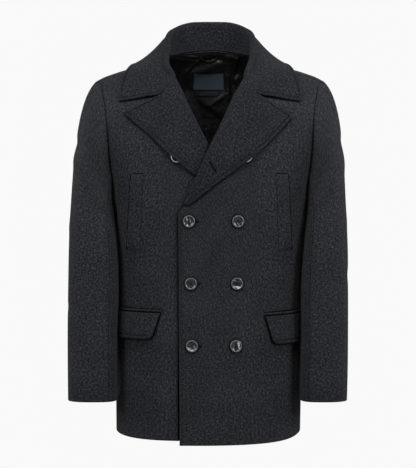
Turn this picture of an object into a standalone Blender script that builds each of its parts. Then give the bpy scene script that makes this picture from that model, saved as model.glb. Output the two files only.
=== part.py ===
"""A man's double-breasted wool pea coat, hollow, as it stands out round a wearer's shoulders.

Metres, +Z up, -Y is the coat's front and +X the wearer's left. Heights are measured up from the
lowest corner of the hem, and the origin is between the shoulders, level with the side of the neck.
Each cloth piece is a closed wall: a grid of outer points, the same grid moved inwards by the
cloth's thickness, and the edges between them. The left half of the coat is worked out, and the
right half is that half mirrored, apart from where the left front laps over the right one.
"""

import math
from collections import namedtuple

import bmesh
import bpy
import numpy as np
from mathutils import Matrix, Vector

# ---------------------------------------------------------------- driving sizes
ORIGIN_HEIGHT = 0.7605  # the side of the neck, where the shoulders carry the coat
CLOTH = 0.0025  # melton wool with its interfacing
COLLAR_CLOTH = 0.0032  # two layers of it
SEAM_GAP = 0.0004
CENTRE_Y = 0.010  # the side seams and the shoulder crest lie in this plane
SQUARENESS = 2.3  # exponent of the torso's sections, where 2 is an ellipse

NECK_X = 0.085  # half width of the neck hole at the shoulder crest
TIP_X = 0.229  # half width across the shoulders
UNDERARM_HEIGHT = 0.470
FRONT_EDGE_X, EDGE_SLANT = -0.0525, 0.0108  # the left front laps this far to the right at the hem
LEAN = 0.005  # the coat stands a hair towards the wearer's left, by this share of its height
HEM_HEIGHT = 0.012  # the hem, above the corner where the left front dips
SHOULDER_DROP_FRONT = 0.120  # the chest rounds over to the crest within this drop
SHOULDER_DROP_BACK = 0.100
SEAM_FORWARD = 0.014  # how far the shoulder seam lies below the crest, at the neck

Level = namedtuple("Level", "height half_width front back")
TORSO = [
    Level(0.00, 0.1835, 0.157, 0.125),
    Level(0.10, 0.1845, 0.154, 0.121),
    Level(0.20, 0.1845, 0.151, 0.110),
    Level(0.28, 0.1840, 0.149, 0.103),
    Level(0.36, 0.1845, 0.150, 0.102),
    Level(0.42, 0.1880, 0.152, 0.106),
    Level(0.47, 0.1950, 0.153, 0.112),
    Level(0.52, 0.2090, 0.152, 0.117),
    Level(0.58, 0.2240, 0.146, 0.119),
    Level(0.64, 0.2370, 0.126, 0.116),
    Level(0.70, 0.2470, 0.098, 0.109),
    Level(0.76, 0.2530, 0.080, 0.106),
    Level(0.80, 0.2560, 0.072, 0.106),
]

Crest = namedtuple("Crest", "x height")
SHOULDER = [
    Crest(0.000, 0.8000),
    Crest(0.030, 0.7940),
    Crest(0.060, 0.7780),
    Crest(0.085, 0.7605),
    Crest(0.102, 0.7545),
    Crest(0.145, 0.7385),
    Crest(0.190, 0.7245),
    Crest(0.215, 0.7152),
    Crest(0.229, 0.7075),
]

Armhole = namedtuple("Armhole", "height x")
ARMHOLE = [
    Armhole(0.4700, 0.1950),
    Armhole(0.4800, 0.1905),
    Armhole(0.5000, 0.1890),
    Armhole(0.5340, 0.1935),
    Armhole(0.5820, 0.1980),
    Armhole(0.6170, 0.2010),
    Armhole(0.6520, 0.2060),
    Armhole(0.6850, 0.2130),
    Armhole(0.7040, 0.2215),
    Armhole(0.7075, 0.2290),
]
# Places round an armhole: 0 at the shoulder crest, 90 in front, 180 at the underarm, 270 behind.
SEAM_PLACE = 13  # the shoulder seam meets the armhole here
FRONT_PLACES = [SEAM_PLACE, 32, 52, 72, 91, 110, 130, 147, 164, 180]
BACK_PLACES = [180, 198, 216, 235, 254, 273, 291, 308, 325, 342, 360]
CREST_PLACES = [0, 7, SEAM_PLACE]
FOREARM_SEAM, HINDARM_SEAM = 130, 235

Roll = namedtuple("Roll", "height x")
ROLL_LINE = [  # where a front folds back into its lapel
    Roll(0.4430, -0.0573),
    Roll(0.4654, -0.0425),
    Roll(0.5000, -0.0262),
    Roll(0.5400, -0.0085),
    Roll(0.5687, 0.0046),
    Roll(0.6000, 0.0215),
    Roll(0.6341, 0.0392),
    Roll(0.6700, 0.0555),
    Roll(0.7000, 0.0692),
]
GORGE_HEIGHT = 0.700

# ---------------------------------------------------------------- reading tables


def along(table, key, column, at):
    """A column of a table read between its rows, on a smooth curve through them."""
    x = np.array([getattr(row, key) for row in table])
    y = np.array([getattr(row, column) for row in table])
    at = np.clip(at, x[0], x[-1])
    slope = np.gradient(y, x)
    i = np.clip(np.searchsorted(x, at, side="right") - 1, 0, len(x) - 2)
    span = x[i + 1] - x[i]
    t = (at - x[i]) / span
    return (
        y[i] * (1 + 2 * t) * (1 - t) ** 2
        + slope[i] * span * t * (1 - t) ** 2
        + y[i + 1] * t * t * (3 - 2 * t)
        + slope[i + 1] * span * t * t * (t - 1)
    )


def mix(a, b, t):
    return a + (b - a) * t


def ease(t):
    t = np.clip(t, 0, 1)
    return t * t * (3 - 2 * t)


def unit(v):
    return v / np.linalg.norm(v, axis=-1, keepdims=True)


def square_to(v, line):
    """Direction of the part of v that is square to a line."""
    line = unit(line)
    return unit(v - line * (v * line).sum(axis=-1, keepdims=True))


def points(x, y, height):
    return np.stack(np.broadcast_arrays(x, y, height), axis=-1).astype(float)


# ---------------------------------------------------------------- the torso's form


def crest_height(x):
    return along(SHOULDER, "x", "height", np.abs(x))


def width_share(x, height):
    """How far out x is on the section at a height: the sine and cosine sides of its superellipse."""
    out = np.clip(x / along(TORSO, "height", "half_width", height), -1, 1)
    return out, (1 - np.abs(out) ** SQUARENESS) ** (1 / SQUARENESS)


def angle_at(x, height):
    """Angle of a point of the front, in degrees from the centre front towards the wearer's left."""
    return np.degrees(np.arctan2(*width_share(x, height)))


def x_at(angle, height):
    sine, cosine = np.sin(np.radians(angle)), np.cos(np.radians(angle))
    reach = (np.abs(sine) ** SQUARENESS + np.abs(cosine) ** SQUARENESS) ** (-1 / SQUARENESS)
    return along(TORSO, "height", "half_width", height) * reach * sine


def rounding(x, height, drop):
    """Share of its full depth that the torso has this far below the shoulder crest."""
    below = np.clip((crest_height(x) - height) / drop, 0, 1)
    return np.sqrt(1 - (1 - below) ** 2)


def front_surface(x, height):
    deep = along(TORSO, "height", "front", height) * width_share(x, height)[1]
    y = CENTRE_Y - deep * rounding(x, height, SHOULDER_DROP_FRONT)
    return points(x, y, height)


def back_surface(x, height):
    deep = along(TORSO, "height", "back", height) * width_share(x, height)[1]
    y = CENTRE_Y + deep * rounding(x, height, SHOULDER_DROP_BACK)
    return points(x, y, height)


def outside(p):
    """Below zero inside the torso's form, zero on it, above zero outside."""
    x, y, height = p[..., 0], p[..., 1], p[..., 2]
    in_front = y < CENTRE_Y
    depth = np.where(in_front, along(TORSO, "height", "front", height), along(TORSO, "height", "back", height))
    drop = np.where(in_front, SHOULDER_DROP_FRONT, SHOULDER_DROP_BACK)
    below = (crest_height(x) - height) / drop
    out = np.abs(x) / along(TORSO, "height", "half_width", height)
    side = (1 - np.minimum(out, 0.999) ** SQUARENESS) ** (1 / SQUARENESS)
    near_crest = ((y - CENTRE_Y) / (depth * side)) ** 2 + np.maximum(0, 1 - below) ** 2 - 1
    full = np.sqrt(1 - (1 - np.clip(below, 0.5, 1)) ** 2)
    lower = out**SQUARENESS + np.abs((y - CENTRE_Y) / (depth * full)) ** SQUARENESS - 1
    return np.where(below < 0.5, near_crest, lower)


def facing(p):
    """Outward direction of the torso's form at points on or near it, and how steeply it rises."""
    step = 0.0004
    rise = np.stack(
        [(outside(p + d) - outside(p - d)) / (2 * step) for d in np.eye(3) * step], axis=-1
    )
    return unit(rise), np.linalg.norm(rise, axis=-1)


def clear_of_torso(p, clearance):
    """The same points, with any that lie nearer to the torso's form than this moved out from it."""
    for _ in range(6):
        away, steepness = facing(p)
        short = np.maximum(0, clearance - outside(p) / steepness)
        p = p + away * short[..., None]
    return p


# ---------------------------------------------------------------- solids


def material(name, colour, roughness):
    made = bpy.data.materials.new(name)
    made.use_nodes = True
    shader = made.node_tree.nodes["Principled BSDF"]
    shader.inputs["Base Color"].default_value = (*colour, 1)
    shader.inputs["Roughness"].default_value = roughness
    return made


for old in list(bpy.data.objects):
    bpy.data.objects.remove(old)

WOOL = material("charcoal_wool", (0.030, 0.031, 0.034), 0.95)
SATIN = material("black_satin", (0.008, 0.008, 0.009), 0.35)
WOVEN_LABEL = material("woven_label", (0.020, 0.024, 0.032), 0.7)
HORN = material("dark_horn", (0.045, 0.046, 0.050), 0.25)


def placed(point):
    """A worked-out point in the row's own frame: leant, and its height turned into Z."""
    x, y, height = point
    return Vector((x + LEAN * (height - ORIGIN_HEIGHT), y, height - ORIGIN_HEIGHT))


def add(name, verts, faces, finish, smooth=True):
    """One closed object, its heights turned into the row's own Z."""
    mesh = bpy.data.meshes.new(name)
    mesh.from_pydata([placed(v) for v in verts], [], faces)
    bm = bmesh.new()
    bm.from_mesh(mesh)
    bmesh.ops.recalc_face_normals(bm, faces=bm.faces)
    bm.to_mesh(mesh)
    bm.free()
    if smooth:
        mesh.shade_smooth()
        mesh.set_sharp_from_angle(angle=math.radians(50))
    mesh.materials.append(finish)
    made = bpy.data.objects.new(name, mesh)
    bpy.context.scene.collection.objects.link(made)
    return made


def split(verts, a, b, c, d):
    """Two triangles, on the shorter diagonal, so that sheets with the same points stay parallel."""
    if np.linalg.norm(verts[a] - verts[c]) < np.linalg.norm(verts[b] - verts[d]):
        return [(a, b, c), (a, c, d)]
    return [(a, b, d), (b, c, d)]


def wall(name, outer, inner, finish=WOOL, closed=False, skip=()):
    """A sheet with a thickness, from two grids of points. closed joins its last column to its first.
    skip names cells, as (row, column), that the sheet doesn't have."""
    rows, columns = outer.shape[:2]
    verts = [*outer.reshape(-1, 3), *inner.reshape(-1, 3)]
    inside = rows * columns
    across = columns if closed else columns - 1
    sheet = [
        triangle
        for r in range(rows - 1)
        for c in range(across)
        if (r, c) not in skip
        for triangle in split(
            verts,
            r * columns + c,
            r * columns + (c + 1) % columns,
            (r + 1) * columns + (c + 1) % columns,
            (r + 1) * columns + c,
        )
    ]
    sides = {}
    for face in sheet:
        for a, b in zip(face, face[1:] + face[:1]):
            if (b, a) in sides:
                del sides[b, a]
            else:
                sides[a, b] = True
    faces = list(sheet)
    faces += [tuple(i + inside for i in reversed(face)) for face in sheet]
    faces += [t for a, b in sides for t in split(verts, b, a, a + inside, b + inside)]
    used = sorted({i for face in faces for i in face})
    order = {old: new for new, old in enumerate(used)}
    return add(name, [verts[i] for i in used], [tuple(order[i] for i in f) for f in faces], finish)


def mirrored(grid):
    return grid * np.array([-1, 1, 1])


def grid_facing(grid, closed=False):
    """Direction square to a grid of points, at each of them."""
    if closed:
        beside = np.roll(grid, -1, axis=1) - np.roll(grid, 1, axis=1)
    else:
        beside = np.gradient(grid, axis=1)
    return unit(np.cross(beside, np.gradient(grid, axis=0)))


# ---------------------------------------------------------------- the armhole


def armhole(place):
    """Height, x, and whether the point is on the front, at a place round the armhole."""
    middle = (UNDERARM_HEIGHT + SHOULDER[-1].height) / 2
    height = middle + (SHOULDER[-1].height - middle) * math.cos(math.radians(place))
    return height, float(along(ARMHOLE, "height", "x", height))


def armhole_point(place):
    height, x = armhole(place)
    surface = front_surface if place < 180 else back_surface
    return surface(x, height)


SEAM_HEIGHT, SEAM_X = armhole(SEAM_PLACE)


BODY_ROWS = 9  # from the hem to the underarm


def outer_boundary(places):
    """Angle of each row at the side seam and then up the armhole, and its share of the way up."""
    low = np.linspace(HEM_HEIGHT, UNDERARM_HEIGHT, BODY_ROWS + 1)[:-1]
    arm = np.array([armhole(p) for p in places])
    gap = np.degrees(SEAM_GAP / 2 / TORSO[0].half_width)
    side = 90 - gap * np.ones(BODY_ROWS)
    up = angle_at(arm[:, 1], arm[:, 0])
    up[0] = 90 - gap
    height = np.array([*low, *arm[:, 0]])
    return np.array([*side, *up]), (height - HEM_HEIGHT) / (height[-1] - HEM_HEIGHT)


def fanned(boundary, shares, weight, edge):
    """Angle of each point of a panel. The armhole's hollow dies away from it within the panel."""
    smooth = mix(90, boundary[-1], ease((shares - 0.4) / 0.6))[:, None]
    return edge + weight * (smooth - edge) + weight**6 * (boundary[:, None] - smooth)


# ---------------------------------------------------------------- fronts
ROLL_COLUMNS = [0.443, 0.458, 0.476, 0.502, 0.538, 0.575, 0.612, 0.645, 0.675, GORGE_HEIGHT]
NECK_COLUMNS = [0.34, 0.67, 1.0]
SHOULDER_SHARES = [0.2, 0.4, 0.6, 0.8, 1.0]
LEFT_HEM_DIP = 0.012  # the left front's corner hangs this much lower than the hem

UNDER_INSET = 0.0038  # the right front lies this far behind the left one
UNDER_START, UNDER_FULL = 0.100, 0.056
LAP_SWELL = 0.0090  # the left front rises over the right lapel where they cross
LAP_SWELL_X, LAP_SWELL_HEIGHT, LAP_SWELL_SPREAD = 0.003, 0.532, 0.045


def roll_x(height):
    return along(ROLL_LINE, "height", "x", height)


def front_shift(side, x, height):
    """How far a front stands out from the torso's form. x grows towards the front's own side."""
    if side == "left":
        apart = (x - LAP_SWELL_X) ** 2 + (height - LAP_SWELL_HEIGHT) ** 2
        return LAP_SWELL * np.exp(-apart / (2 * LAP_SWELL_SPREAD**2))
    across = ease((UNDER_START - x) / (UNDER_START - UNDER_FULL))
    return -UNDER_INSET * across * ease((0.66 - height) / 0.09)


def on_front(side, x, height, out=0.0):
    """Points on a front, or this far out from it, and the direction that it faces there."""
    base = front_surface(x, height)
    away = facing(base)[0]
    lift = np.asarray(front_shift(side, x, height) + out)
    return base + away * lift[..., None], away


def seam_drop(share, portion=1.0):
    """How far below the crest the shoulder seam lies, from the neck (0) to the armhole (1)."""
    at_arm = float(crest_height(SEAM_X)) - SEAM_HEIGHT
    return mix(SEAM_FORWARD, at_arm, share) * portion


def front_tops():
    """The top of each column: up the roll line, up the neck edge, and out along the shoulder seam."""
    tops = [(float(roll_x(h)), h) for h in ROLL_COLUMNS]
    gorge = np.array(tops[-1])
    neck = np.array([NECK_X, float(crest_height(NECK_X)) - seam_drop(0)])
    tops += [tuple(mix(gorge, neck, s)) for s in NECK_COLUMNS]
    for share in SHOULDER_SHARES:
        x = mix(NECK_X, SEAM_X, share)
        tops.append((x, float(crest_height(x)) - float(seam_drop(share))))
    return tops


def edge_x(height):
    return FRONT_EDGE_X - EDGE_SLANT * height


def hem_at(side, x):
    """Height of the hem. The left front's edge hangs lower than the rest."""
    if side != "left":
        return np.full_like(x, HEM_HEIGHT)
    share = np.clip((x - FRONT_EDGE_X) / (TORSO[0].half_width - FRONT_EDGE_X), 0, 1)
    return HEM_HEIGHT - LEFT_HEM_DIP * (1 - share**4)


def front_grid(side):
    """Outer and inner points of a front, up its rows and out from its edge to its side seam."""
    boundary, shares = outer_boundary(FRONT_PLACES[::-1])
    tops = np.array(front_tops())
    top_x, top_height = tops[:, 0], tops[:, 1]
    edge = angle_at(edge_x(top_height), top_height)
    weight = (angle_at(top_x, top_height) - edge) / (boundary[-1] - edge)
    hem = hem_at(side, x_at(mix(angle_at(FRONT_EDGE_X, 0), 90, weight), 0))
    height = hem + shares[:, None] * (top_height - hem)
    edge = angle_at(edge_x(height), height)
    x = x_at(fanned(boundary, shares, weight, edge), height)
    outer, away = on_front(side, x, height)
    return outer, outer - away * CLOTH


def front(side):
    outer, inner = front_grid(side)
    if side == "right":
        outer, inner = mirrored(outer), mirrored(inner)
    wall(f"front_{side}", outer, inner)


# ---------------------------------------------------------------- backs
BACK_NECK_HEIGHT = 0.779
BACK_NECK_X = [0.0, 0.018, 0.036, 0.053, 0.068, 0.079]


def back_neck_height(x):
    """The back's neck edge, from the centre back down to the crest at the side of the neck."""
    return mix(BACK_NECK_HEIGHT, float(crest_height(NECK_X)), (x / NECK_X) ** 2)


def back_grid():
    """Outer and inner points of the left back, and the cells that the neck hole takes out of it."""
    boundary, shares = outer_boundary(BACK_PLACES)
    crest_x = mix(NECK_X, TIP_X, np.array([0.0, *SHOULDER_SHARES]))
    top_x = np.array([*BACK_NECK_X, *crest_x])
    neck = len(BACK_NECK_X)
    top_height = np.array([*back_neck_height(np.array(BACK_NECK_X)), *crest_height(crest_x)])
    weight = angle_at(top_x, top_height) / boundary[-1]
    height = HEM_HEIGHT + shares[:, None] * (top_height - HEM_HEIGHT)
    x = x_at(fanned(boundary, shares, weight, 0), height)
    x[:, 0] = SEAM_GAP / 2
    outer = back_surface(x, height)
    over = []  # rows that go on over the crest to the shoulder seam
    gap_drop = SEAM_GAP
    for place, portion in ((CREST_PLACES[1], 0.4), (CREST_PLACES[2], 1.0)):
        arm_height, arm_x = armhole(place)
        share = np.array([0.0, *SHOULDER_SHARES])
        row_x = mix(NECK_X, arm_x, share)
        arm_drop = float(crest_height(arm_x)) - arm_height
        drop = mix(SEAM_FORWARD * portion, arm_drop, share) - gap_drop * (portion == 1)
        row = front_surface(row_x, crest_height(row_x) - drop)
        over.append(np.concatenate([np.repeat(outer[-1:, 0], neck, axis=0), row]))
    outer = np.concatenate([outer, np.array(over)])
    inner = outer - facing(outer)[0] * CLOTH
    crest_row = BODY_ROWS + len(BACK_PLACES) - 1
    skip = {(r, c) for r in (crest_row, crest_row + 1) for c in range(neck)}
    return outer, inner, skip, neck, crest_row


def back(side):
    outer, inner, skip, _, _ = back_grid()
    if side == "right":
        outer, inner = mirrored(outer), mirrored(inner)
    wall(f"back_{side}", outer, inner, skip=skip)


# ---------------------------------------------------------------- sleeves
SleeveRing = namedtuple("SleeveRing", "height x y half_width half_depth")
SLEEVE = [
    SleeveRing(0.0818, 0.2256, -0.074, 0.0459, 0.0490),
    SleeveRing(0.1300, 0.2260, -0.071, 0.0467, 0.0520),
    SleeveRing(0.2000, 0.2264, -0.065, 0.0474, 0.0560),
    SleeveRing(0.3000, 0.2266, -0.054, 0.0475, 0.0610),
    SleeveRing(0.3800, 0.2281, -0.038, 0.0461, 0.0660),
    SleeveRing(0.4400, 0.2295, -0.016, 0.0440, 0.0700),
]
SLEEVE_SQUARENESS = 2.3
SLEEVE_CLEAR = 0.0066  # between the sleeve and the side of the coat
FOLD_ROOM = 0.0016  # and beside the underarm seam, where the sleeve turns down
CAP_ROWS, ARM_ROWS = 7, 9
SLEEVE_PLACES = [0, 7, *FRONT_PLACES, *BACK_PLACES[1:-1]]


def sleeve_ring(height, places):
    """A level ring of the sleeve, kept just clear of the coat's side."""
    sine, cosine = np.sin(np.radians(places)), np.cos(np.radians(places))
    reach = (np.abs(sine) ** SLEEVE_SQUARENESS + np.abs(cosine) ** SLEEVE_SQUARENESS) ** (
        -1 / SLEEVE_SQUARENESS
    )
    x = along(SLEEVE, "height", "x", height)
    x = x + along(SLEEVE, "height", "half_width", height) * reach * cosine
    y = along(SLEEVE, "height", "y", height)
    y = y - along(SLEEVE, "height", "half_depth", height) * reach * sine
    ring = points(x, y, np.full_like(x, height))
    clear = clear_of_torso(ring, SLEEVE_CLEAR)
    clear[:, 2] = height
    return clear


def sleeve_grid():
    """Outer and inner points of the left sleeve, from the armhole down to the cuff."""
    places = np.array(SLEEVE_PLACES, float)
    seam = np.array([armhole_point(p) for p in SLEEVE_PLACES])
    torso_way = facing(seam)[0]
    round_it = np.roll(seam, -1, axis=0) - np.roll(seam, 1, axis=0)
    beyond = unit(np.cross(torso_way, round_it))  # off the panel's edge, into the armhole
    sine, cosine = np.sin(np.radians(places)), np.cos(np.radians(places))
    low = ((1 - cosine) / 2)[:, None]
    start = seam + beyond * SEAM_GAP
    hang = start + torso_way * FOLD_ROOM * low**2
    top = sleeve_ring(SLEEVE[-1].height, places)
    far = np.linalg.norm(top - hang, axis=1, keepdims=True)
    out, down = 0.34 * (1 - low[:, 0]) + 0.16 * sine**2, -0.56 - 0.44 * low[:, 0]
    leave = points(out, -0.14 * sine, down) * far
    arrive = points(0.03 * (1 - low[:, 0]), -0.30 + 0 * sine, -1.1 + 0 * sine) * far
    rows = [start, start + beyond * FOLD_ROOM / 2 + torso_way * FOLD_ROOM / 2 * low**2]
    for t in np.linspace(0, 1, CAP_ROWS + 1)[1:]:
        row = (
            hang * (1 + 2 * t) * (1 - t) ** 2
            + leave * t * (1 - t) ** 2
            + top * t * t * (3 - 2 * t)
            + arrive * t * t * (t - 1)
        )
        clear = clear_of_torso(row, mix(FOLD_ROOM, SLEEVE_CLEAR, t))
        rows.append(mix(row, clear, ease((low - 0.55) / 0.2)))
    for height in np.linspace(SLEEVE[-1].height, SLEEVE[0].height, ARM_ROWS + 1)[1:]:
        rows.append(sleeve_ring(height, places))
    outer = np.array(rows)
    hanging = grid_facing(outer[2:], closed=True)
    turning = unit(hanging[0] + torso_way - beyond * 0.5)
    inner = outer - np.array([torso_way, turning, *hanging]) * CLOTH
    return outer, inner


def sleeve(side):
    outer, inner = sleeve_grid()
    front_seam, back_seam = SLEEVE_PLACES.index(FOREARM_SEAM), SLEEVE_PLACES.index(HINDARM_SEAM)
    under = list(range(front_seam, back_seam + 1))
    upper = [*range(back_seam, len(SLEEVE_PLACES)), *range(front_seam + 1)]
    for name, columns in (("upper", upper), ("under", under)):
        sheet, lining = outer[:, columns].copy(), inner[:, columns].copy()
        first = square_to(sheet[:, 1] - sheet[:, 0], np.gradient(sheet[:, 0], axis=0))
        last = square_to(sheet[:, -2] - sheet[:, -1], np.gradient(sheet[:, -1], axis=0))
        for grid in (sheet, lining):  # the two pieces part by a hair at each seam
            grid[:, 0] += first * SEAM_GAP / 2
            grid[:, -1] += last * SEAM_GAP / 2
        if side == "right":
            sheet, lining = mirrored(sheet), mirrored(lining)
        wall(f"sleeve_{name}_{side}", sheet, lining)


# ---------------------------------------------------------------- lapels
Fold = namedtuple("Fold", "roll_height edge_x edge_height radius")
LAPEL = {  # from the bottom of the fold up to the gorge seam
    "left": [
        Fold(0.4580, -0.0400, 0.4560, 0.0030),
        Fold(0.4760, -0.0220, 0.4690, 0.0034),
        Fold(0.5020, 0.0060, 0.4915, 0.0038),
        Fold(0.5380, 0.0423, 0.5186, 0.0042),
        Fold(0.5750, 0.0800, 0.5482, 0.0046),
        Fold(0.6120, 0.1150, 0.5792, 0.0052),
        Fold(0.6450, 0.1430, 0.6090, 0.0056),
        Fold(0.6750, 0.1585, 0.6290, 0.0058),
        Fold(GORGE_HEIGHT, 0.1600, 0.6355, 0.0058),
    ],
    "right": [  # this one runs out under the left
        Fold(0.5020, 0.0080, 0.4980, 0.0038),
        Fold(0.5380, 0.0423, 0.5250, 0.0042),
        Fold(0.5750, 0.0790, 0.5570, 0.0046),
        Fold(0.6120, 0.1170, 0.5930, 0.0052),
        Fold(0.6450, 0.1480, 0.6200, 0.0056),
        Fold(0.6750, 0.1625, 0.6325, 0.0058),
        Fold(GORGE_HEIGHT, 0.1640, 0.6385, 0.0058),
    ],
}
NOTCH_X, NOTCH_HEIGHT = 0.1023, 0.6725
ACROSS = [0.20, 0.38, 0.60, 0.80, 1.00]  # places across the lapel, the second at the notch
NOTCH_COLUMN = 1
FOLD_ANGLES = np.radians([0, 30, 60, 90, 120, 150, 180])
EDGE_LIFT = 0.0042  # how far the lapel's face stands off the front at its outer edge
TIP_LIFT = {"left": 0.0, "right": 0.0040}

ButtonPlace = namedtuple("ButtonPlace", "name x height front")
BUTTONS = [  # x towards the wearer's left; front is the front that carries it
    ButtonPlace("button_top_left", 0.0689, 0.550, "left"),
    ButtonPlace("button_top_right", -0.0630, 0.550, "right"),
    ButtonPlace("button_high_left", 0.0545, 0.426, "left"),
    ButtonPlace("button_high_right", -0.0386, 0.426, "left"),
    ButtonPlace("button_middle_left", 0.0531, 0.307, "left"),
    ButtonPlace("button_middle_right", -0.0343, 0.307, "left"),
    ButtonPlace("button_low_left", 0.0518, 0.188, "left"),
    ButtonPlace("button_low_right", -0.0318, 0.188, "left"),
]
BUTTON_SWELL, BUTTON_SWELL_SPREAD = 0.0108, 0.034


def lapel_lift(side, x, height, across, radius):
    """How far the lapel's face stands off its front: high at the fold and over the hidden button."""
    lift = mix(2 * radius - CLOTH, EDGE_LIFT, ease(across))
    for place in BUTTONS[:2]:
        if place.front == side:
            apart = (x - abs(place.x)) ** 2 + (height - place.height) ** 2
            near = np.exp(-((apart / BUTTON_SWELL_SPREAD**2) ** 2))
            lift = np.maximum(lift, EDGE_LIFT + (BUTTON_SWELL - EDGE_LIFT) * near)
    return lift + TIP_LIFT[side] * ease((across - 0.3) / 0.7) * ease((height - 0.56) / 0.07)


def fold_row(side, row, flats):
    """Face and back points of one row: round the fold, then out over the front to each of flats."""
    height = row.roll_height
    base, away = on_front(side, roll_x(height), height)
    step = 0.003
    above = on_front(side, roll_x(height - step), height - step)[0]
    open_way = unit(np.cross(base - above, away))  # along the front, towards the open neck
    open_way = open_way * -np.sign(open_way[0])
    centre = base + away * (row.radius - CLOTH) + open_way * SEAM_GAP
    face, rear = [], []
    for angle in FOLD_ANGLES:
        way = open_way * math.sin(angle) - away * math.cos(angle)
        face.append(centre + way * row.radius)
        rear.append(centre + way * (row.radius - CLOTH))
    for (x, flat_height), across in flats:
        lift = lapel_lift(side, x, flat_height, across, row.radius)
        point, out = on_front(side, np.array(x), np.array(flat_height), lift)
        face.append(point)
        rear.append(point - out * CLOTH)
    return np.array(face), np.array(rear)


def gorge_flats(tip):
    """The top row's flat places: down the gorge seam to the notch, then along a free edge to a tip."""
    seam = np.array([float(roll_x(GORGE_HEIGHT)), GORGE_HEIGHT])
    notch = np.array([NOTCH_X, NOTCH_HEIGHT])
    places = []
    for i, across in enumerate(ACROSS):
        if i <= NOTCH_COLUMN:
            place = mix(seam, notch, across / ACROSS[NOTCH_COLUMN])
        else:
            share = (across - ACROSS[NOTCH_COLUMN]) / (1 - ACROSS[NOTCH_COLUMN])
            place = mix(notch, np.array(tip), share)
        places.append((place, across))
    return places


def lapel(side):
    rows = LAPEL[side]
    faces, rears = [], []
    for row in rows[:-1]:
        start = np.array([float(roll_x(row.roll_height)), row.roll_height])
        end = np.array([row.edge_x, row.edge_height])
        flats = [(mix(start, end, across), across) for across in ACROSS]
        face, rear = fold_row(side, row, flats)
        faces.append(face)
        rears.append(rear)
    top = rows[-1]
    face, rear = fold_row(side, top, gorge_flats((top.edge_x, top.edge_height)))
    lower = np.array([0, 0, -SEAM_GAP / 2])
    faces.append(face + lower)
    rears.append(rear + lower)
    outer, inner = np.array(faces), np.array(rears)
    if side == "right":
        outer, inner = mirrored(outer), mirrored(inner)
    wall(f"lapel_{side}", outer, inner)


# ---------------------------------------------------------------- collar
Station = namedtuple(
    "Station", "share fold_x fold_y fold_height swell_x swell_y swell_height edge_x edge_y edge_height"
)
COLLAR = [  # from the gorge seam (0) round to the centre back (1)
    Station(0.00, 0.0660, -0.086, 0.7080, 0.105, -0.085, 0.692, 0.1760, -0.058, 0.6670),
    Station(0.15, 0.0750, -0.066, 0.7300, 0.108, -0.066, 0.716, 0.1735, -0.046, 0.6870),
    Station(0.32, 0.0820, -0.036, 0.7580, 0.108, -0.036, 0.739, 0.1660, -0.022, 0.7150),
    Station(0.50, 0.0835, 0.010, 0.8000, 0.105, 0.012, 0.757, 0.1530, 0.012, 0.7425),
    Station(0.66, 0.0700, 0.045, 0.8180, 0.097, 0.054, 0.772, 0.1300, 0.056, 0.7380),
    Station(0.82, 0.0430, 0.065, 0.8300, 0.060, 0.084, 0.787, 0.0820, 0.088, 0.7400),
    Station(1.00, 0.0000, 0.072, 0.8350, 0.000, 0.097, 0.796, 0.0000, 0.104, 0.7480),
]
COLLAR_TIP = (0.1760, 0.667)
COLLAR_FOLD = 0.0060  # radius of the collar's face round its fold
COLLAR_CLEAR = 0.0050  # the face of its fall stands at least this far off the shoulders


def neck_edge():
    """The neck edge of the left half: outer and inner points from the gorge to the centre back."""
    tops = np.array(front_tops())
    first = len(ROLL_COLUMNS) - 1
    front_part = tops[first : first + len(NECK_COLUMNS) + 1]
    outer = on_front("left", front_part[:, 0], front_part[:, 1])[0]
    inner = outer - facing(outer)[0] * CLOTH
    grid, grid_inner, _, neck, crest_row = back_grid()
    over = [crest_row + 1, crest_row]
    outer = [*outer, *grid[over, neck], *grid[crest_row, :neck][::-1]]
    inner = [*inner, *grid_inner[over, neck], *grid_inner[crest_row, :neck][::-1]]
    outer, inner = np.array(outer), np.array(inner)
    outer[-1, 0] = inner[-1, 0] = 0
    return outer, inner


def collar_rows():
    """Face and back points of the collar's left half, a row for each station round the neck."""
    base_outer, base_inner = neck_edge()
    lengths = np.linalg.norm(np.diff(base_outer, axis=0), axis=1)
    shares = np.array([0, *np.cumsum(lengths)]) / lengths.sum()
    way_along = np.gradient(base_outer, axis=0)
    toward_neck = unit(np.cross(facing(base_outer)[0], way_along))
    toward_neck *= -np.sign(toward_neck[:, :1] * 1.0 + 1e-9)
    toward_neck[-1] = unit(np.array([0.0, -0.76, 0.65]))
    face0, rear0 = fold_row("left", LAPEL["left"][-1], gorge_flats(COLLAR_TIP))
    raise_by = np.array([0, 0, SEAM_GAP / 2])
    faces, rears = [face0 + raise_by], [rear0 + raise_by]
    for i in range(1, len(shares)):
        read = {c: float(along(COLLAR, "share", c, shares[i])) for c in Station._fields[1:]}
        fold = np.array([read["fold_x"], read["fold_y"], read["fold_height"]])
        swell = np.array([read["swell_x"], read["swell_y"], read["swell_height"]])
        edge = np.array([read["edge_x"], read["edge_y"], read["edge_height"]])
        foot, foot_rear = base_inner[i], base_outer[i]
        shift = toward_neck[i] * SEAM_GAP
        rise = unit(fold - (foot + foot_rear) / 2)
        outward = swell - fold
        outward = unit(outward - rise * (outward @ rise))
        centre = fold - rise * COLLAR_FOLD
        turn = [
            centre + (rise * math.sin(b) - outward * math.cos(b)) * COLLAR_FOLD
            for b in np.radians([0, 45, 90, 135, 180])
        ]
        start = turn[-1]
        fall = [
            start * (1 - a) ** 2 + swell * 2 * a * (1 - a) + edge * a * a for a in ACROSS
        ]
        stand = mix(foot + shift, turn[0], 0.55)
        faces.append(np.array([foot + shift, stand, *turn, *fall]))
        rears.append(foot_rear + shift)
    face = np.array(faces)
    fall = slice(len(FOLD_ANGLES), None)
    face[1:, fall] = clear_of_torso(face[1:, fall], COLLAR_CLEAR)
    return face, rears


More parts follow.
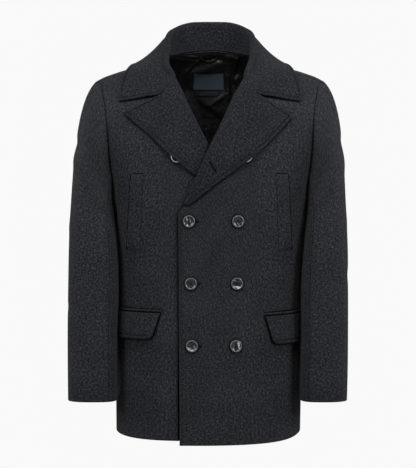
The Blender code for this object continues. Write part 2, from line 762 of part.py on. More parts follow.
def collar():
    face, rears = collar_rows()
    other = mirrored(face[:-1][::-1])
    whole = np.concatenate([face, other])
    rear = whole - grid_facing(whole) * COLLAR_CLOTH
    half = len(face)
    for i, made in enumerate(rears):
        if i == 0:
            rear[0] = made
            rear[-1] = mirrored(made)
        else:
            rear[i, 0] = made
            rear[-1 - i, 0] = mirrored(made)
    rear[half - 1, :, 0] = 0
    wall("collar", whole, rear)


# ---------------------------------------------------------------- pockets
POCKET_GAP = 0.0008
WELT_CLOTH, FLAP_CLOTH, JET_CLOTH = 0.0020, 0.0028, 0.0016
Welt = namedtuple("Welt", "height inner_x slit_x")
WELT = [
    Welt(0.370, 0.1340, 0.1585),
    Welt(0.445, 0.1310, 0.1550),
    Welt(0.517, 0.1265, 0.1500),
]
WELT_ROWS = 10
Flap = namedtuple("Flap", "front_x top rise depth")
FLAPS = {"left": Flap(0.1076, 0.2441, 0.0044, 0.0545), "right": Flap(0.0928, 0.2505, 0.0020, 0.0512)}
FLAP_END_ANGLE = 79.0
FLAP_SLANT = 0.0150  # the flap's lower front corner lies this much further back
FLAP_CORNER = 0.0120
FLAP_LIFT = 0.0010  # its lower edge stands off the coat
FLAP_COLUMNS, FLAP_ROWS = 8, 5
JET_HEIGHT = 0.0052


def patch(name, side, x, height, out, cloth):
    """A piece that lies on a front, from the places of its points on that front."""
    base, away = on_front(side, x, height)
    outer = base + away * np.asarray(out + cloth)[..., None]
    inner = base + away * np.asarray(out)[..., None]
    if side == "right":
        outer, inner = mirrored(outer), mirrored(inner)
    wall(name, outer, inner)


def welt(side):
    height = np.linspace(WELT[0].height, WELT[-1].height, WELT_ROWS + 1)[:, None]
    share = np.array([[0.0, 0.5, 1.0]])
    x = mix(along(WELT, "height", "inner_x", height), along(WELT, "height", "slit_x", height), share)
    height = np.broadcast_to(height, x.shape)
    patch(f"welt_{side}", side, x, height, np.full_like(x, POCKET_GAP), WELT_CLOTH)


def flap_places(side, share_along, share_down):
    """Places on the front, along the flap from its front corner and down from its top edge."""
    front_x, top, rise, depth = FLAPS[side]
    height = top + rise * share_along - depth * share_down
    angle = mix(angle_at(front_x + FLAP_SLANT * share_down, height), FLAP_END_ANGLE, share_along)
    return x_at(angle, height), height


def flap(side):
    along_it = np.linspace(0, 1, FLAP_COLUMNS + 1) ** 1.15
    down = np.linspace(0, 1, FLAP_ROWS + 1)
    share_along, share_down = np.meshgrid(along_it, down)
    x, height = flap_places(side, share_along, share_down)
    for r, c, inward in ((-1, 0, 0.6), (-1, 1, 0.12), (-2, 0, 0.12)):  # the rounded corner
        x[r, c] += FLAP_CORNER * inward * 0.5
        height[r, c] += FLAP_CORNER * inward * 0.5
    out = POCKET_GAP + FLAP_LIFT * share_down
    patch(f"flap_{side}", side, x, height, out, FLAP_CLOTH)


def jet(side):
    """The narrow piped edge over the flap."""
    share_along = np.linspace(-0.015, 1, FLAP_COLUMNS + 1)
    x, height = flap_places(side, share_along, np.zeros_like(share_along))
    height = np.array([height + SEAM_GAP, height + SEAM_GAP + JET_HEIGHT])
    x = np.array([x, x])
    patch(f"jet_{side}", side, x, height, np.full_like(x, POCKET_GAP), JET_CLOTH)


# ---------------------------------------------------------------- lining, label and loop
LINING_GAP, LINING_CLOTH = 0.0008, 0.0010
LINING_EDGE = 0.85  # it stops this far across the back's outermost cells
LABEL_X = -0.003
LABEL_WIDTH, LABEL_DEPTH, LABEL_HEIGHT = 0.064, 0.035, 0.7190
TAB_WIDTH, TAB_DEPTH, TAB_HEIGHT = 0.040, 0.010, 0.6935
LABEL_CLOTH, LABEL_GAP = 0.0006, 0.0006
LOOP_HALF, LOOP_SAG, LOOP_WIDTH, LOOP_CLOTH = 0.020, 0.008, 0.004, 0.0012
LOOP_HEIGHT = 0.7725


def lining_grid():
    """Outer and inner points of the back's lining, made from the back's own points moved in."""
    sheet, _, _, _, crest_row = back_grid()
    sheet = sheet[1 : crest_row + 1].copy()
    sheet[:, 0, 0] = 0
    away = facing(sheet)[0]
    for grid in (sheet, away):
        grid[:, -1] = mix(grid[:, -2], grid[:, -1], LINING_EDGE)
        grid[-1] = mix(grid[-2], grid[-1], LINING_EDGE)
    near = CLOTH + LINING_GAP
    outer, inner = sheet - away * near, sheet - away * (near + LINING_CLOTH)
    outer = np.concatenate([mirrored(outer[:, :0:-1]), outer], axis=1)
    inner = np.concatenate([mirrored(inner[:, :0:-1]), inner], axis=1)
    return outer, inner


def lining():
    wall("lining_back", *lining_grid(), SATIN)


def on_lining(x, height, out):
    """Points this far off the lining's face, at these places across it."""
    grid = lining_grid()[1]
    x, height, out = np.broadcast_arrays(x, height, out)
    y = np.empty(x.shape)
    for i in np.ndindex(x.shape):
        line = [
            [np.interp(height[i], column[:, 2], column[:, k]) for k in (0, 1)]
            for column in grid.transpose(1, 0, 2)
        ]
        y[i] = np.interp(x[i], *np.array(line).T)
    return points(x, y - out, height)


def label(name, width, depth, middle):
    x = LABEL_X + np.linspace(-width / 2, width / 2, 7)[None, :]
    height = (middle + np.linspace(-depth / 2, depth / 2, 4))[:, None]
    near, far = (on_lining(x, height, out) for out in (LABEL_GAP, LABEL_GAP + LABEL_CLOTH))
    wall(name, near, far, WOVEN_LABEL)


def hanger_loop():
    """A narrow strip that sags between its two sewn ends, under the collar seam."""
    x = np.linspace(-LOOP_HALF, LOOP_HALF, 11)
    sag = LOOP_SAG * (1 - (x / LOOP_HALF) ** 2)
    height = LOOP_HEIGHT - sag - np.array([[LOOP_WIDTH], [0]])
    off = LABEL_GAP + 0.35 * sag
    near, far = (on_lining(LABEL_X + x, height, out) for out in (off, off + LOOP_CLOTH))
    wall("hanger_loop", near, far, SATIN)


# ---------------------------------------------------------------- buttons
BUTTON_GAP = 0.0006
Turned = namedtuple("Turned", "radius height")
BUTTON_PROFILE = [  # from the middle of the back, round the rim, to the middle of the dish
    Turned(0.0085, 0.0),
    Turned(0.01175, 0.0013),
    Turned(0.01175, 0.0022),
    Turned(0.0107, 0.0034),
    Turned(0.0090, 0.0034),
    Turned(0.0078, 0.0023),
]
BUTTON_SIDES = 18
THREAD_HOLE, THREAD_HOLE_OUT = 0.0010, 0.0023


def turned_mesh(name, profile, sides):
    """A closed turned body, its first and last rings filled flat."""
    verts, faces = [], []
    for ring in profile:
        for k in range(sides):
            turn = 2 * math.pi * k / sides
            verts.append((ring.radius * math.cos(turn), ring.radius * math.sin(turn), ring.height))
    for r in range(len(profile) - 1):
        for k in range(sides):
            k2 = (k + 1) % sides
            faces.append((r * sides + k, r * sides + k2, (r + 1) * sides + k2, (r + 1) * sides + k))
    faces.append(tuple(reversed(range(sides))))
    faces.append(tuple((len(profile) - 1) * sides + k for k in range(sides)))
    mesh = bpy.data.meshes.new(name)
    mesh.from_pydata(verts, [], faces)
    return mesh


def button_mesh():
    """One button, with four thread holes cut through its dish."""
    blank = bpy.data.objects.new("button_blank", turned_mesh("button", BUTTON_PROFILE, BUTTON_SIDES))
    bpy.context.scene.collection.objects.link(blank)
    cutters = []
    for quarter in range(4):
        turn = math.radians(45 + 90 * quarter)
        drill = [Turned(THREAD_HOLE, -0.001), Turned(THREAD_HOLE, 0.006)]
        cutter = bpy.data.objects.new(f"drill_{quarter}", turned_mesh("drill", drill, 8))
        cutter.location = (THREAD_HOLE_OUT * math.cos(turn), THREAD_HOLE_OUT * math.sin(turn), 0)
        cutter.hide_render = True
        cutter.display_type = "WIRE"
        bpy.context.scene.collection.objects.link(cutter)
        cut = blank.modifiers.new(cutter.name, "BOOLEAN")
        cut.object = cutter
        cutters.append(cutter)
    bpy.context.view_layer.update()
    drilled = blank.evaluated_get(bpy.context.evaluated_depsgraph_get())
    mesh = bpy.data.meshes.new_from_object(drilled)
    mesh.materials.append(HORN)
    for done in (blank, *cutters):
        bpy.data.objects.remove(done)
    return mesh


def buttons():
    mesh = button_mesh()
    for place in BUTTONS:
        mirror = -1 if place.front == "right" else 1
        x = place.x * mirror
        point, away = on_front(place.front, np.array(x), np.array(place.height), BUTTON_GAP)
        point, away = point * [mirror, 1, 1], away * [mirror, 1, 1]
        made = bpy.data.objects.new(place.name, mesh)
        turn = Vector(away).to_track_quat("Z", "Y").to_matrix().to_4x4()
        made.matrix_world = Matrix.Translation(placed(point)) @ turn
        bpy.context.scene.collection.objects.link(made)


for half in ("left", "right"):
    front(half)
    back(half)
    sleeve(half)
    lapel(half)
    welt(half)
    flap(half)
    jet(half)
collar()
lining()
label("label", LABEL_WIDTH, LABEL_DEPTH, LABEL_HEIGHT)
label("label_tab", TAB_WIDTH, TAB_DEPTH, TAB_HEIGHT)
hanger_loop()
buttons()
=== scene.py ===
"""The looks of a man's charcoal wool pea coat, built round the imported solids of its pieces."""

import math
from collections import namedtuple

import bpy
import numpy as np
from mathutils import Matrix, Vector


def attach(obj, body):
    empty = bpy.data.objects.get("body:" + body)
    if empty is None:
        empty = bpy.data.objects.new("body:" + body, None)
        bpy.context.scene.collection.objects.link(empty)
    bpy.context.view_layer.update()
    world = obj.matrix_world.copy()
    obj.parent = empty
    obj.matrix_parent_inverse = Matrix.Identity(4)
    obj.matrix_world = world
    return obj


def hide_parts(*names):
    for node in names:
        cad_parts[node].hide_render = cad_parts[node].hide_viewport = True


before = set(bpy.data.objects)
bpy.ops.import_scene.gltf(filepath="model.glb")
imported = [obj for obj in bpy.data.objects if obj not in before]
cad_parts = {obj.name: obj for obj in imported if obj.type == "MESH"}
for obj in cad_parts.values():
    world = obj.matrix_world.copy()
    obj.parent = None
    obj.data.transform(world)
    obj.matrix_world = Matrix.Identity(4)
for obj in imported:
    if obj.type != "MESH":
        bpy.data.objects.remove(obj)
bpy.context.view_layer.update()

# ---------------------------------------------------------------- fronts
# Two panels of heavy brushed wool with its interfacing, the wearer's left one lapping over the
# right. Each is cut from the front edge out to the side seam, and from the hem up to the roll line,
# the neck and the shoulder seam. The edge is turned and topstitched, and faced with the same wool.
SIDES = ("left", "right")
ORIGIN_HEIGHT, LEAN = 0.7605, 0.005  # the side of the neck, above the lowest corner of the hem
CLOTH, FACING_WIDTH, HEM_TURN = 0.0025, 0.085, 0.040
SEAM_GAP, SEAM_LAP = -0.0002, 0.0003  # the panels just overlap, so that their seams are closed
CENTRE_Y, SQUARENESS = 0.010, 2.3
NECK_X, TIP_X, GORGE_HEIGHT = 0.085, 0.229, 0.700
UNDERARM_HEIGHT, HEM_HEIGHT = 0.470, 0.012
FRONT_EDGE_X, EDGE_SLANT = -0.0545, 0.0108
SHOULDER_DROP, SEAM_FORWARD = {"front": 0.120, "back": 0.100}, 0.014
UNDER_INSET, UNDER_START, UNDER_FULL, UNDER_TOP = 0.0038, 0.100, 0.056, (0.66, -0.09)
LAP_SWELL, LAP_SWELL_X, LAP_SWELL_HEIGHT, LAP_SWELL_SPREAD = 0.0090, 0.003, 0.532, 0.045
EDGE_RISE, EDGE_BULK, EDGE_SPREAD = 0.0018, 0.0010, 0.010  # of the turned front edge
LAP_FOOT, LAP_VALLEY, LAP_VALLEY_X, LAP_VALLEY_WIDTH = (0.462, -0.012), 0.0055, 0.0011, 0.0018
LAP_VALLEY_SHARE, LAP_VALLEY_FADE = 0.14, (0.09, 0.11)  # it is shallower up the front
ARM_HOLLOW_X, ARM_HOLLOW_WIDTH = 0.1786, 0.0048
ARM_HOLLOW_FROM, ARM_HOLLOW_TO = (0.075, 0.03), (0.47, -0.03)
ARM_HOLLOW_SHIFTS = ((0.0110, 0.33, 0.14), (0.0022, 0.16, -0.08))  # it follows the sleeve's edge
EDGE_CALM, EDGE_CREASED = 0.03, 0.2  # creases nearly die away at the front edge
SEAM_CALM, SEAM_ANGLE = (88.5, -14), 90  # creases die away before the side seam
STITCH_INSET, STITCH_GROOVE, STITCH_WIDTH = 0.0062, 0.0013, 0.0011
STITCH_PUFF, PUFF_INSET, PUFF_WIDTH = 0.0008, 0.0032, 0.0022
ROLLED = 5  # points round the roll of a turned edge

Own = namedtuple("Own", "hem_dip hem_rise armhole_out arm_hollow")
OWN = {"left": Own(0.0134, 0.28, 0.0035, 0.0008), "right": Own(0.0050, 0.0, 0.0, 0.0075)}
Cut = namedtuple("Cut", "width length area")
FRONT_CUT = {"left": Cut(0.350, 0.780, 0.212), "right": Cut(0.350, 0.774, 0.210)}


def table(columns, *rows):
    """Rows with named columns."""
    row = namedtuple("Row", columns)
    return [row(*values) for values in rows]


TORSO = table(
    "height half_width front back",
    (0.00, 0.1835, 0.157, 0.125), (0.10, 0.1850, 0.154, 0.121), (0.20, 0.1862, 0.151, 0.110),
    (0.28, 0.1862, 0.149, 0.103), (0.36, 0.1885, 0.150, 0.102), (0.42, 0.1930, 0.152, 0.106),
    (0.47, 0.1985, 0.153, 0.112), (0.52, 0.2090, 0.152, 0.117), (0.58, 0.2240, 0.146, 0.119),
    (0.64, 0.2370, 0.126, 0.116), (0.70, 0.2470, 0.098, 0.109), (0.76, 0.2530, 0.080, 0.106),
    (0.80, 0.2560, 0.072, 0.106),
)
SHOULDER = table(
    "x height",
    (0.000, 0.8000), (0.030, 0.7940), (0.060, 0.7780), (0.085, 0.7605), (0.102, 0.7545),
    (0.145, 0.7385), (0.190, 0.7245), (0.215, 0.7152), (0.229, 0.7075),
)
ARMHOLE = table(
    "height x",
    (0.4700, 0.1950), (0.4800, 0.1905), (0.5000, 0.1890), (0.5340, 0.1935), (0.5820, 0.1980),
    (0.6170, 0.2010), (0.6520, 0.2060), (0.6850, 0.2130), (0.7040, 0.2215), (0.7075, 0.2290),
)
ROLL_LINE = table(
    "height x",
    (0.4430, -0.0593), (0.4654, -0.0425), (0.5000, -0.0262), (0.5400, -0.0085), (0.5687, 0.0046),
    (0.6000, 0.0215), (0.6341, 0.0392), (0.6700, 0.0555), (0.7000, 0.0692),
)
NECK_SET = table(  # where the cloth at the neck is set over to one side
    "x height wide high shift",
    (-0.072, 0.735, 0.024, 0.020, -0.0066), (0.044, 0.652, 0.034, 0.050, -0.0034),
)
NECK_SET_Y = 0.03
CREASE = "x height to_x to_height width depth"  # a depth below zero is a trough, above it a ridge
CREASE_RUN = 0.42  # how far from its middle a crease dies away, as a share of its length
FRONT_CREASES = table(
    CREASE,
    (0.150, 0.700, 0.120, 0.530, 0.020, -0.0012), (0.105, 0.640, 0.060, 0.450, 0.024, 0.0012),
    (0.165, 0.470, 0.090, 0.400, 0.013, -0.0013), (0.160, 0.500, 0.080, 0.440, 0.014, 0.0010),
    (0.165, 0.345, 0.085, 0.335, 0.012, -0.0012), (0.165, 0.310, 0.100, 0.325, 0.012, 0.0009),
    (0.120, 0.200, 0.128, 0.020, 0.020, -0.0022), (0.080, 0.230, 0.076, 0.020, 0.022, 0.0018),
    (0.020, 0.260, 0.028, 0.020, 0.024, -0.0014), (0.155, 0.170, 0.160, 0.020, 0.014, 0.0014),
)


def curve(start, leave, end, arrive, t):
    """A place on the smooth curve between two others, by the ways that it leaves and arrives."""
    return (
        start * (1 + 2 * t) * (1 - t) ** 2
        + leave * t * (1 - t) ** 2
        + end * t * t * (3 - 2 * t)
        + arrive * t * t * (t - 1)
    )


def along(rows, column, at):
    """A column of a table, read between its rows by its first column, on a smooth curve."""
    x = np.array([row[0] for row in rows])
    y = np.array([getattr(row, column) for row in rows])
    at = np.clip(at, x[0], x[-1])
    slope = np.gradient(y, x)
    i = np.clip(np.searchsorted(x, at, side="right") - 1, 0, len(x) - 2)
    span = x[i + 1] - x[i]
    return curve(y[i], slope[i] * span, y[i + 1], slope[i + 1] * span, (at - x[i]) / span)


def mix(a, b, t):
    return a + (b - a) * t


def ease(t):
    t = np.clip(t, 0, 1)
    return t * t * (3 - 2 * t)


def fade(at, start, length):
    """From 0 at the start to 1 this far on, or back from it where the length is below zero."""
    return ease((at - start) / length)


def bell(at, middle, width):
    return np.exp(-(((at - middle) / width) ** 2))


def unit(v):
    return v / np.linalg.norm(v, axis=-1, keepdims=True)


def points(x, y, height):
    return np.stack(np.broadcast_arrays(x, y, height), axis=-1).astype(float)


def stepped(stops, step):
    """Places from each stop to the next, in even steps of about this length."""
    places = [stops[0]]
    for a, b in zip(stops, stops[1:]):
        count = max(1, round(abs(b - a) / step))
        places += [mix(a, b, k / count) for k in range(1, count + 1)]
    return np.array(places)


def crest_height(x):
    return along(SHOULDER, "height", np.abs(x))


def width_share(x, height):
    """How far out x is on the section at a height, and how far forward the section is there."""
    out = np.clip(x / along(TORSO, "half_width", height), -1, 1)
    return out, (1 - np.abs(out) ** SQUARENESS) ** (1 / SQUARENESS)


def angle_at(x, height):
    return np.degrees(np.arctan2(*width_share(x, height)))


def superellipse(angle, square=SQUARENESS):
    """The sine and cosine of an angle, and a superellipse's reach that way."""
    sine, cosine = np.sin(np.radians(angle)), np.cos(np.radians(angle))
    return sine, cosine, (np.abs(sine) ** square + np.abs(cosine) ** square) ** (-1 / square)


def x_at(angle, height):
    sine, _, reach = superellipse(angle)
    return along(TORSO, "half_width", height) * reach * sine


def body(half, x, height):
    """Points of the body's form, on its front or back half."""
    deep = along(TORSO, half, height) * width_share(x, height)[1]
    below = np.clip((crest_height(x) - height) / SHOULDER_DROP[half], 0, 1)
    way = -1 if half == "front" else 1
    return points(x, CENTRE_Y + way * deep * np.sqrt(1 - (1 - below) ** 2), height)


def outside(p):
    """Below zero inside the body's form, zero on it, above zero outside."""
    x, y, height = p[..., 0], p[..., 1], p[..., 2]
    in_front = y < CENTRE_Y
    depth = np.where(in_front, along(TORSO, "front", height), along(TORSO, "back", height))
    below = (crest_height(x) - height) / np.where(in_front, *SHOULDER_DROP.values())
    out = np.abs(x) / along(TORSO, "half_width", height)
    side = (1 - np.minimum(out, 0.999) ** SQUARENESS) ** (1 / SQUARENESS)
    near_crest = ((y - CENTRE_Y) / (depth * side)) ** 2 + np.maximum(0, 1 - below) ** 2 - 1
    full = np.sqrt(1 - (1 - np.clip(below, 0.5, 1)) ** 2)
    lower = out**SQUARENESS + np.abs((y - CENTRE_Y) / (depth * full)) ** SQUARENESS - 1
    return np.where(below < 0.5, near_crest, lower)


def facing(p):
    """Outward direction of the body's form at points on or near it, and how steeply it rises."""
    step = 0.0004
    rise = [(outside(p + d) - outside(p - d)) / (2 * step) for d in np.eye(3) * step]
    rise = np.stack(rise, axis=-1)
    return unit(rise), np.linalg.norm(rise, axis=-1)


def creased(rows, x, height):
    """How far soft creases move the cloth out at these places."""
    moved = np.zeros(np.broadcast(x, height).shape)
    for crease in rows:
        run, rise = crease.to_x - crease.x, crease.to_height - crease.height
        length = math.hypot(run, rise)
        share = ((x - crease.x) * run + (height - crease.height) * rise) / length**2
        beside = ((x - crease.x) * rise - (height - crease.height) * run) / length
        near = np.exp(-((beside / crease.width) ** 2) - ((share - 0.5) / CREASE_RUN) ** 4)
        moved += crease.depth * near
    return moved


def roll_x(height):
    return along(ROLL_LINE, "x", height)


def edge_x(height):
    return FRONT_EDGE_X - EDGE_SLANT * height


def front_shift(side, x, height):
    """How far a front stands out from the body's form. x grows towards the front's own side."""
    seam = fade(angle_at(x, height), *SEAM_CALM)
    folds = creased(FRONT_CREASES, x, height) * seam
    folds = folds * ease((x - edge_x(height)) / EDGE_CALM + EDGE_CREASED)
    behind = seam * fade(height, *ARM_HOLLOW_FROM) * fade(height, *ARM_HOLLOW_TO)
    hollow_x = sum((shift * fade(height, *at) for shift, *at in ARM_HOLLOW_SHIFTS), ARM_HOLLOW_X)
    folds = folds - OWN[side].arm_hollow * behind * bell(x, hollow_x, ARM_HOLLOW_WIDTH)
    below = fade(height, *LAP_FOOT)
    if side == "left":
        apart = (x - LAP_SWELL_X) ** 2 + (height - LAP_SWELL_HEIGHT) ** 2
        rise = EDGE_RISE * bell(x, edge_x(height), EDGE_SPREAD) * below
        return LAP_SWELL * np.exp(-apart / (2 * LAP_SWELL_SPREAD**2)) + folds + rise
    across = ease((UNDER_START - x) / (UNDER_START - UNDER_FULL))
    valley = LAP_VALLEY * mix(1, LAP_VALLEY_SHARE, fade(height, *LAP_VALLEY_FADE)) * below
    valley = valley * bell(x + edge_x(height), LAP_VALLEY_X, LAP_VALLEY_WIDTH)
    return folds * (1 - across) - (UNDER_INSET * across * fade(height, *UNDER_TOP) + valley)


def on_front(side, x, height, out=0.0):
    """Points on a front, or this far out from it, and the direction that it faces there."""
    base = body("front", x, height)
    away = facing(base)[0]
    lift = np.asarray(front_shift(side, x, height) + out)
    return base + away * lift[..., None], away


WIDER_FROM, WIDER_TO = (UNDERARM_HEIGHT, 0.02), (0.65, -0.09)


def armhole(place, side="right"):
    """Height and x at a place round the armhole: 0 at the crest, 90 in front, 180 underneath."""
    middle = (UNDERARM_HEIGHT + SHOULDER[-1].height) / 2
    height = middle + (SHOULDER[-1].height - middle) * math.cos(math.radians(place))
    wider = OWN[side].armhole_out * fade(height, *WIDER_FROM) * fade(height, *WIDER_TO)
    return height, float(along(ARMHOLE, "x", height) + wider)


SEAM_PLACE = 13
SEAM_HEIGHT, SEAM_X = armhole(SEAM_PLACE)
PLACE_STEP, ROW_STEP, COLUMN_STEP, VALLEY_STEP = 3.6, 0.0055, 0.0046, 0.0010
VALLEY_FROM, VALLEY_TO = 0.0935, 0.1190
PANEL_FROM, ROLL_PLACES, NECK_COLUMNS = 0.0200, 400, 7
FAN_SMOOTH, FAN_HOLLOW = (0.4, 0.6), 6  # how soon the armhole's hollow dies away in a panel
FRONT_PLACES = [*stepped([SEAM_PLACE, 20, 180], PLACE_STEP)]
FRONT_ROWS = [180, *FRONT_PLACES[-4::-1]]  # rows closer to the underarm than this would cross
BODY_HEIGHTS = [*stepped([HEM_HEIGHT, HEM_HEIGHT + 0.003, UNDERARM_HEIGHT], ROW_STEP)][:-1]
EDGE_PLACES = [0, 0.0026, 0.0044, 0.0055, 0.0063, 0.0071, 0.0083, 0.0110, 0.0155]
SHOULDER_SHARES = stepped([0, 0.978, 1.0], 0.036)


def outer_boundary(places, side):
    """Angle of each row at the side seam and then up the armhole, and its share of the way up."""
    arm = np.array([armhole(p, side) for p in places])
    up = angle_at(arm[:, 1], arm[:, 0])
    up[0] = SEAM_ANGLE
    height = np.array([*BODY_HEIGHTS, *arm[:, 0]])
    angle = np.array([*np.full(len(BODY_HEIGHTS), float(SEAM_ANGLE)), *up])
    return angle, (height - HEM_HEIGHT) / (height[-1] - HEM_HEIGHT)


def lapped(outer):
    """A panel whose side edge runs a hair past its seam, so that no light shows through it."""
    seam = slice(0, len(BODY_HEIGHTS) + 1)
    outer[seam, -1] += unit(outer[seam, -1] - outer[seam, -2]) * SEAM_LAP
    return outer


def fanned(boundary, shares, weight, edge):
    """Angle of each point of a panel. The armhole's hollow dies away from it within the panel."""
    smooth = mix(SEAM_ANGLE, boundary[-1], fade(shares, *FAN_SMOOTH))[:, None]
    return edge + weight * (smooth - edge) + weight**FAN_HOLLOW * (boundary[:, None] - smooth)


def seam_drop(share):
    """How far below the crest the shoulder seam lies, from the neck (0) to the armhole (1)."""
    return mix(SEAM_FORWARD, float(crest_height(SEAM_X)) - SEAM_HEIGHT, share)


GORGE = np.array([float(roll_x(GORGE_HEIGHT)), GORGE_HEIGHT])
SEAM_TOP = np.array([NECK_X, float(crest_height(NECK_X)) - seam_drop(0)])


def front_tops():
    """The top of each column: up the roll line and neck edge, and out along the shoulder seam."""
    heights = np.linspace(ROLL_LINE[0].height, GORGE_HEIGHT, ROLL_PLACES)
    from_edge = roll_x(heights) - edge_x(heights)
    offsets = [*EDGE_PLACES, *stepped([PANEL_FROM, VALLEY_FROM], COLUMN_STEP)]
    offsets += [*stepped([VALLEY_FROM, VALLEY_TO], VALLEY_STEP)[1:]]
    offsets += [*stepped([VALLEY_TO, from_edge[-1]], COLUMN_STEP)[1:]]
    tops = [(float(roll_x(h)), h) for h in np.interp(offsets, from_edge, heights)]
    gorge = np.array(tops[-1])
    tops += [tuple(mix(gorge, SEAM_TOP, s)) for s in np.linspace(0, 1, NECK_COLUMNS)[1:]]
    for share in SHOULDER_SHARES[1:]:
        x = mix(NECK_X, SEAM_X, share)
        tops.append((x, float(crest_height(x)) - float(seam_drop(share))))
    return np.array(tops).T


def hem_at(side, x):
    """Height of the hem. It hangs lowest at the front edge and turns up to the side seam."""
    share = np.clip((x - FRONT_EDGE_X) / (TORSO[0].half_width - FRONT_EDGE_X), 0, 1)
    gradual, late = share**2, share**12
    rise = OWN[side].hem_rise * gradual + (1 - OWN[side].hem_rise) * late
    return HEM_HEIGHT - OWN[side].hem_dip * (1 - rise)


def front_grid(side):
    """Outer and inner points of a front, up its rows and out from its edge to its side seam."""
    boundary, shares = outer_boundary(FRONT_ROWS, side)
    top_x, top_height = front_tops()
    edge = angle_at(edge_x(top_height), top_height)
    weight = (angle_at(top_x, top_height) - edge) / (boundary[-1] - edge)
    hem = hem_at(side, x_at(mix(angle_at(FRONT_EDGE_X, 0), SEAM_ANGLE, weight), 0))
    height = hem + shares[:, None] * (top_height - hem)
    x = x_at(fanned(boundary, shares, weight, angle_at(edge_x(height), height)), height)
    outer, away = on_front(side, x, height)
    outer = lapped(outer)
    return outer, outer - away * CLOTH


def mirrored(grid):
    return grid * np.array([-1, 1, 1])


def on_side(side, *grids):
    """Grids that were worked out for the left, on the side where they belong."""
    return [mirrored(grid) if side == "right" else grid for grid in grids]


def placed(p):
    """Worked-out points in the frame of the solids: set as dressed, leant, and heights as Z."""
    p = np.asarray(p, float)
    x, y, height = p[..., 0], p[..., 1], p[..., 2]
    for to in NECK_SET:
        near = np.exp(-(((x - to.x) / to.wide) ** 2) - ((height - to.height) / to.high) ** 2)
        x = x + to.shift * near * ease((NECK_SET_Y - y) / NECK_SET_Y)
    return points(x + LEAN * (height - ORIGIN_HEIGHT), y, height - ORIGIN_HEIGHT)


def distances(grid, axis):
    """How far each point of a grid is along its line, from the line's first point."""
    steps = np.linalg.norm(np.diff(grid, axis=axis), axis=-1)
    start = np.zeros_like(np.take(steps, [0], axis=axis))
    return np.concatenate([start, np.cumsum(steps, axis=axis)], axis=axis)


def grooved(outer, inner, depth):
    """The outer points, moved this far out along the cloth's thickness."""
    return outer + unit(outer - inner) * depth[..., None]


def topstitched(apart):
    """How a line of topstitching pulls the cloth in, this far from a turned edge."""
    puff = STITCH_PUFF * bell(apart, PUFF_INSET, PUFF_WIDTH)
    return puff - STITCH_GROOVE * bell(apart, STITCH_INSET, STITCH_WIDTH)


def grid_faces(rows, columns, skip=()):
    """The faces between a grid's points, and the cell of each."""
    cells = [(r, c) for r in range(rows - 1) for c in range(columns - 1) if (r, c) not in skip]
    firsts = [r * columns + c for r, c in cells]
    return [(i, i + 1, i + columns + 1, i + columns) for i in firsts], cells


def cloth(name, outer, inner, finish, inside=None, lined=None, skip=(), roll=None, grain=(0, 0)):
    """A sheet with a thickness and rolled edges. lined marks the cells whose inner face is of the
    inside finish, and skip the cells that the sheet lacks. Its UVs are the flat cut, in metres."""
    rows, columns = outer.shape[:2]
    roll = float(np.linalg.norm(outer - inner, axis=-1).mean() / 2) if roll is None else roll
    across, up = distances(outer, 1), distances(outer, 0).mean(axis=1, keepdims=True)
    flat = np.stack([across + grain[0], np.broadcast_to(up + grain[1], across.shape)], axis=-1)
    flat = flat.reshape(-1, 2)
    quads, cells = grid_faces(rows, columns, skip)
    quads = np.array(quads)
    top, low = outer.reshape(-1, 3).copy(), inner.reshape(-1, 3).copy()
    thick = top - low
    a, b, c, d = (top[quads[:, k]] for k in range(4))
    if (np.cross(c - a, d - b) * thick[quads[:, 0]]).sum() < 0:
        quads = quads[:, ::-1]
    sides = {}
    for quad in quads.tolist():
        for a, b in zip(quad, quad[1:] + quad[:1]):
            if sides.pop((b, a), None) is None:
                sides[a, b] = True
    off = np.zeros_like(top)
    for a, b in sides:
        way = np.cross(top[b] - top[a], thick[a] + thick[b])
        for end in (a, b):
            off[end] += way / np.linalg.norm(way)
    rim = np.array(sorted({a for a, _ in sides}))
    off[rim] = unit(off[rim])
    middle, half = ((top + low) / 2)[rim], thick[rim] / 2
    turns = np.radians(np.linspace(0, 180, ROLLED + 2))
    rings = [middle + half * math.cos(t) - off[rim] * roll * (1 - math.sin(t)) for t in turns]
    top[rim], low[rim] = rings[0], rings[-1]
    count = len(top)
    order = {v: i for i, v in enumerate(rim.tolist())}
    faces = [*map(tuple, quads.tolist())]
    slots = [0] * len(faces)
    faces += [tuple(i + count for i in reversed(quad)) for quad in quads.tolist()]
    slots += [int(lined is not None and bool(lined[cell])) for cell in cells]

    def ring(i, level):
        if level in (0, ROLLED + 1):
            return i + count * (level > 0)
        return 2 * count + (level - 1) * len(rim) + order[i]

    for a, b in sides:
        for level in range(ROLLED + 1):
            faces.append((*(ring(i, level) for i in (b, a)), *(ring(i, level + 1) for i in (a, b))))
            slots.append(0)
    verts, flats = np.concatenate([top, low, *rings[1:-1]]), [flat, flat] + [flat[rim]] * ROLLED
    return shaped(name, verts, faces, [finish, inside or finish], slots, np.concatenate(flats))


def shaped(name, verts, faces, finishes, slots=None, flat=None):
    """A smooth-shaded piece from worked-out points, which rides on the coat's one body."""
    verts = np.asarray(verts, float)
    used = np.zeros(len(verts), bool)
    used[[i for face in faces for i in face]] = True
    order = np.cumsum(used) - 1
    mesh = bpy.data.meshes.new(name)
    spots = [Vector(v) for v in placed(verts[used])]
    mesh.from_pydata(spots, [], [tuple(order[list(face)].tolist()) for face in faces])
    for finish in finishes:
        mesh.materials.append(finish)
    if slots is not None:
        mesh.polygons.foreach_set("material_index", np.array(slots, np.int32))
    layer = mesh.uv_layers.new(name="cut")
    if flat is not None:
        corner = np.zeros(len(mesh.loops), np.int32)
        mesh.loops.foreach_get("vertex_index", corner)
        layer.data.foreach_set("uv", flat[used][corner].astype(np.float32).ravel())
    mesh.shade_smooth()
    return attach(added(name, mesh), "root")


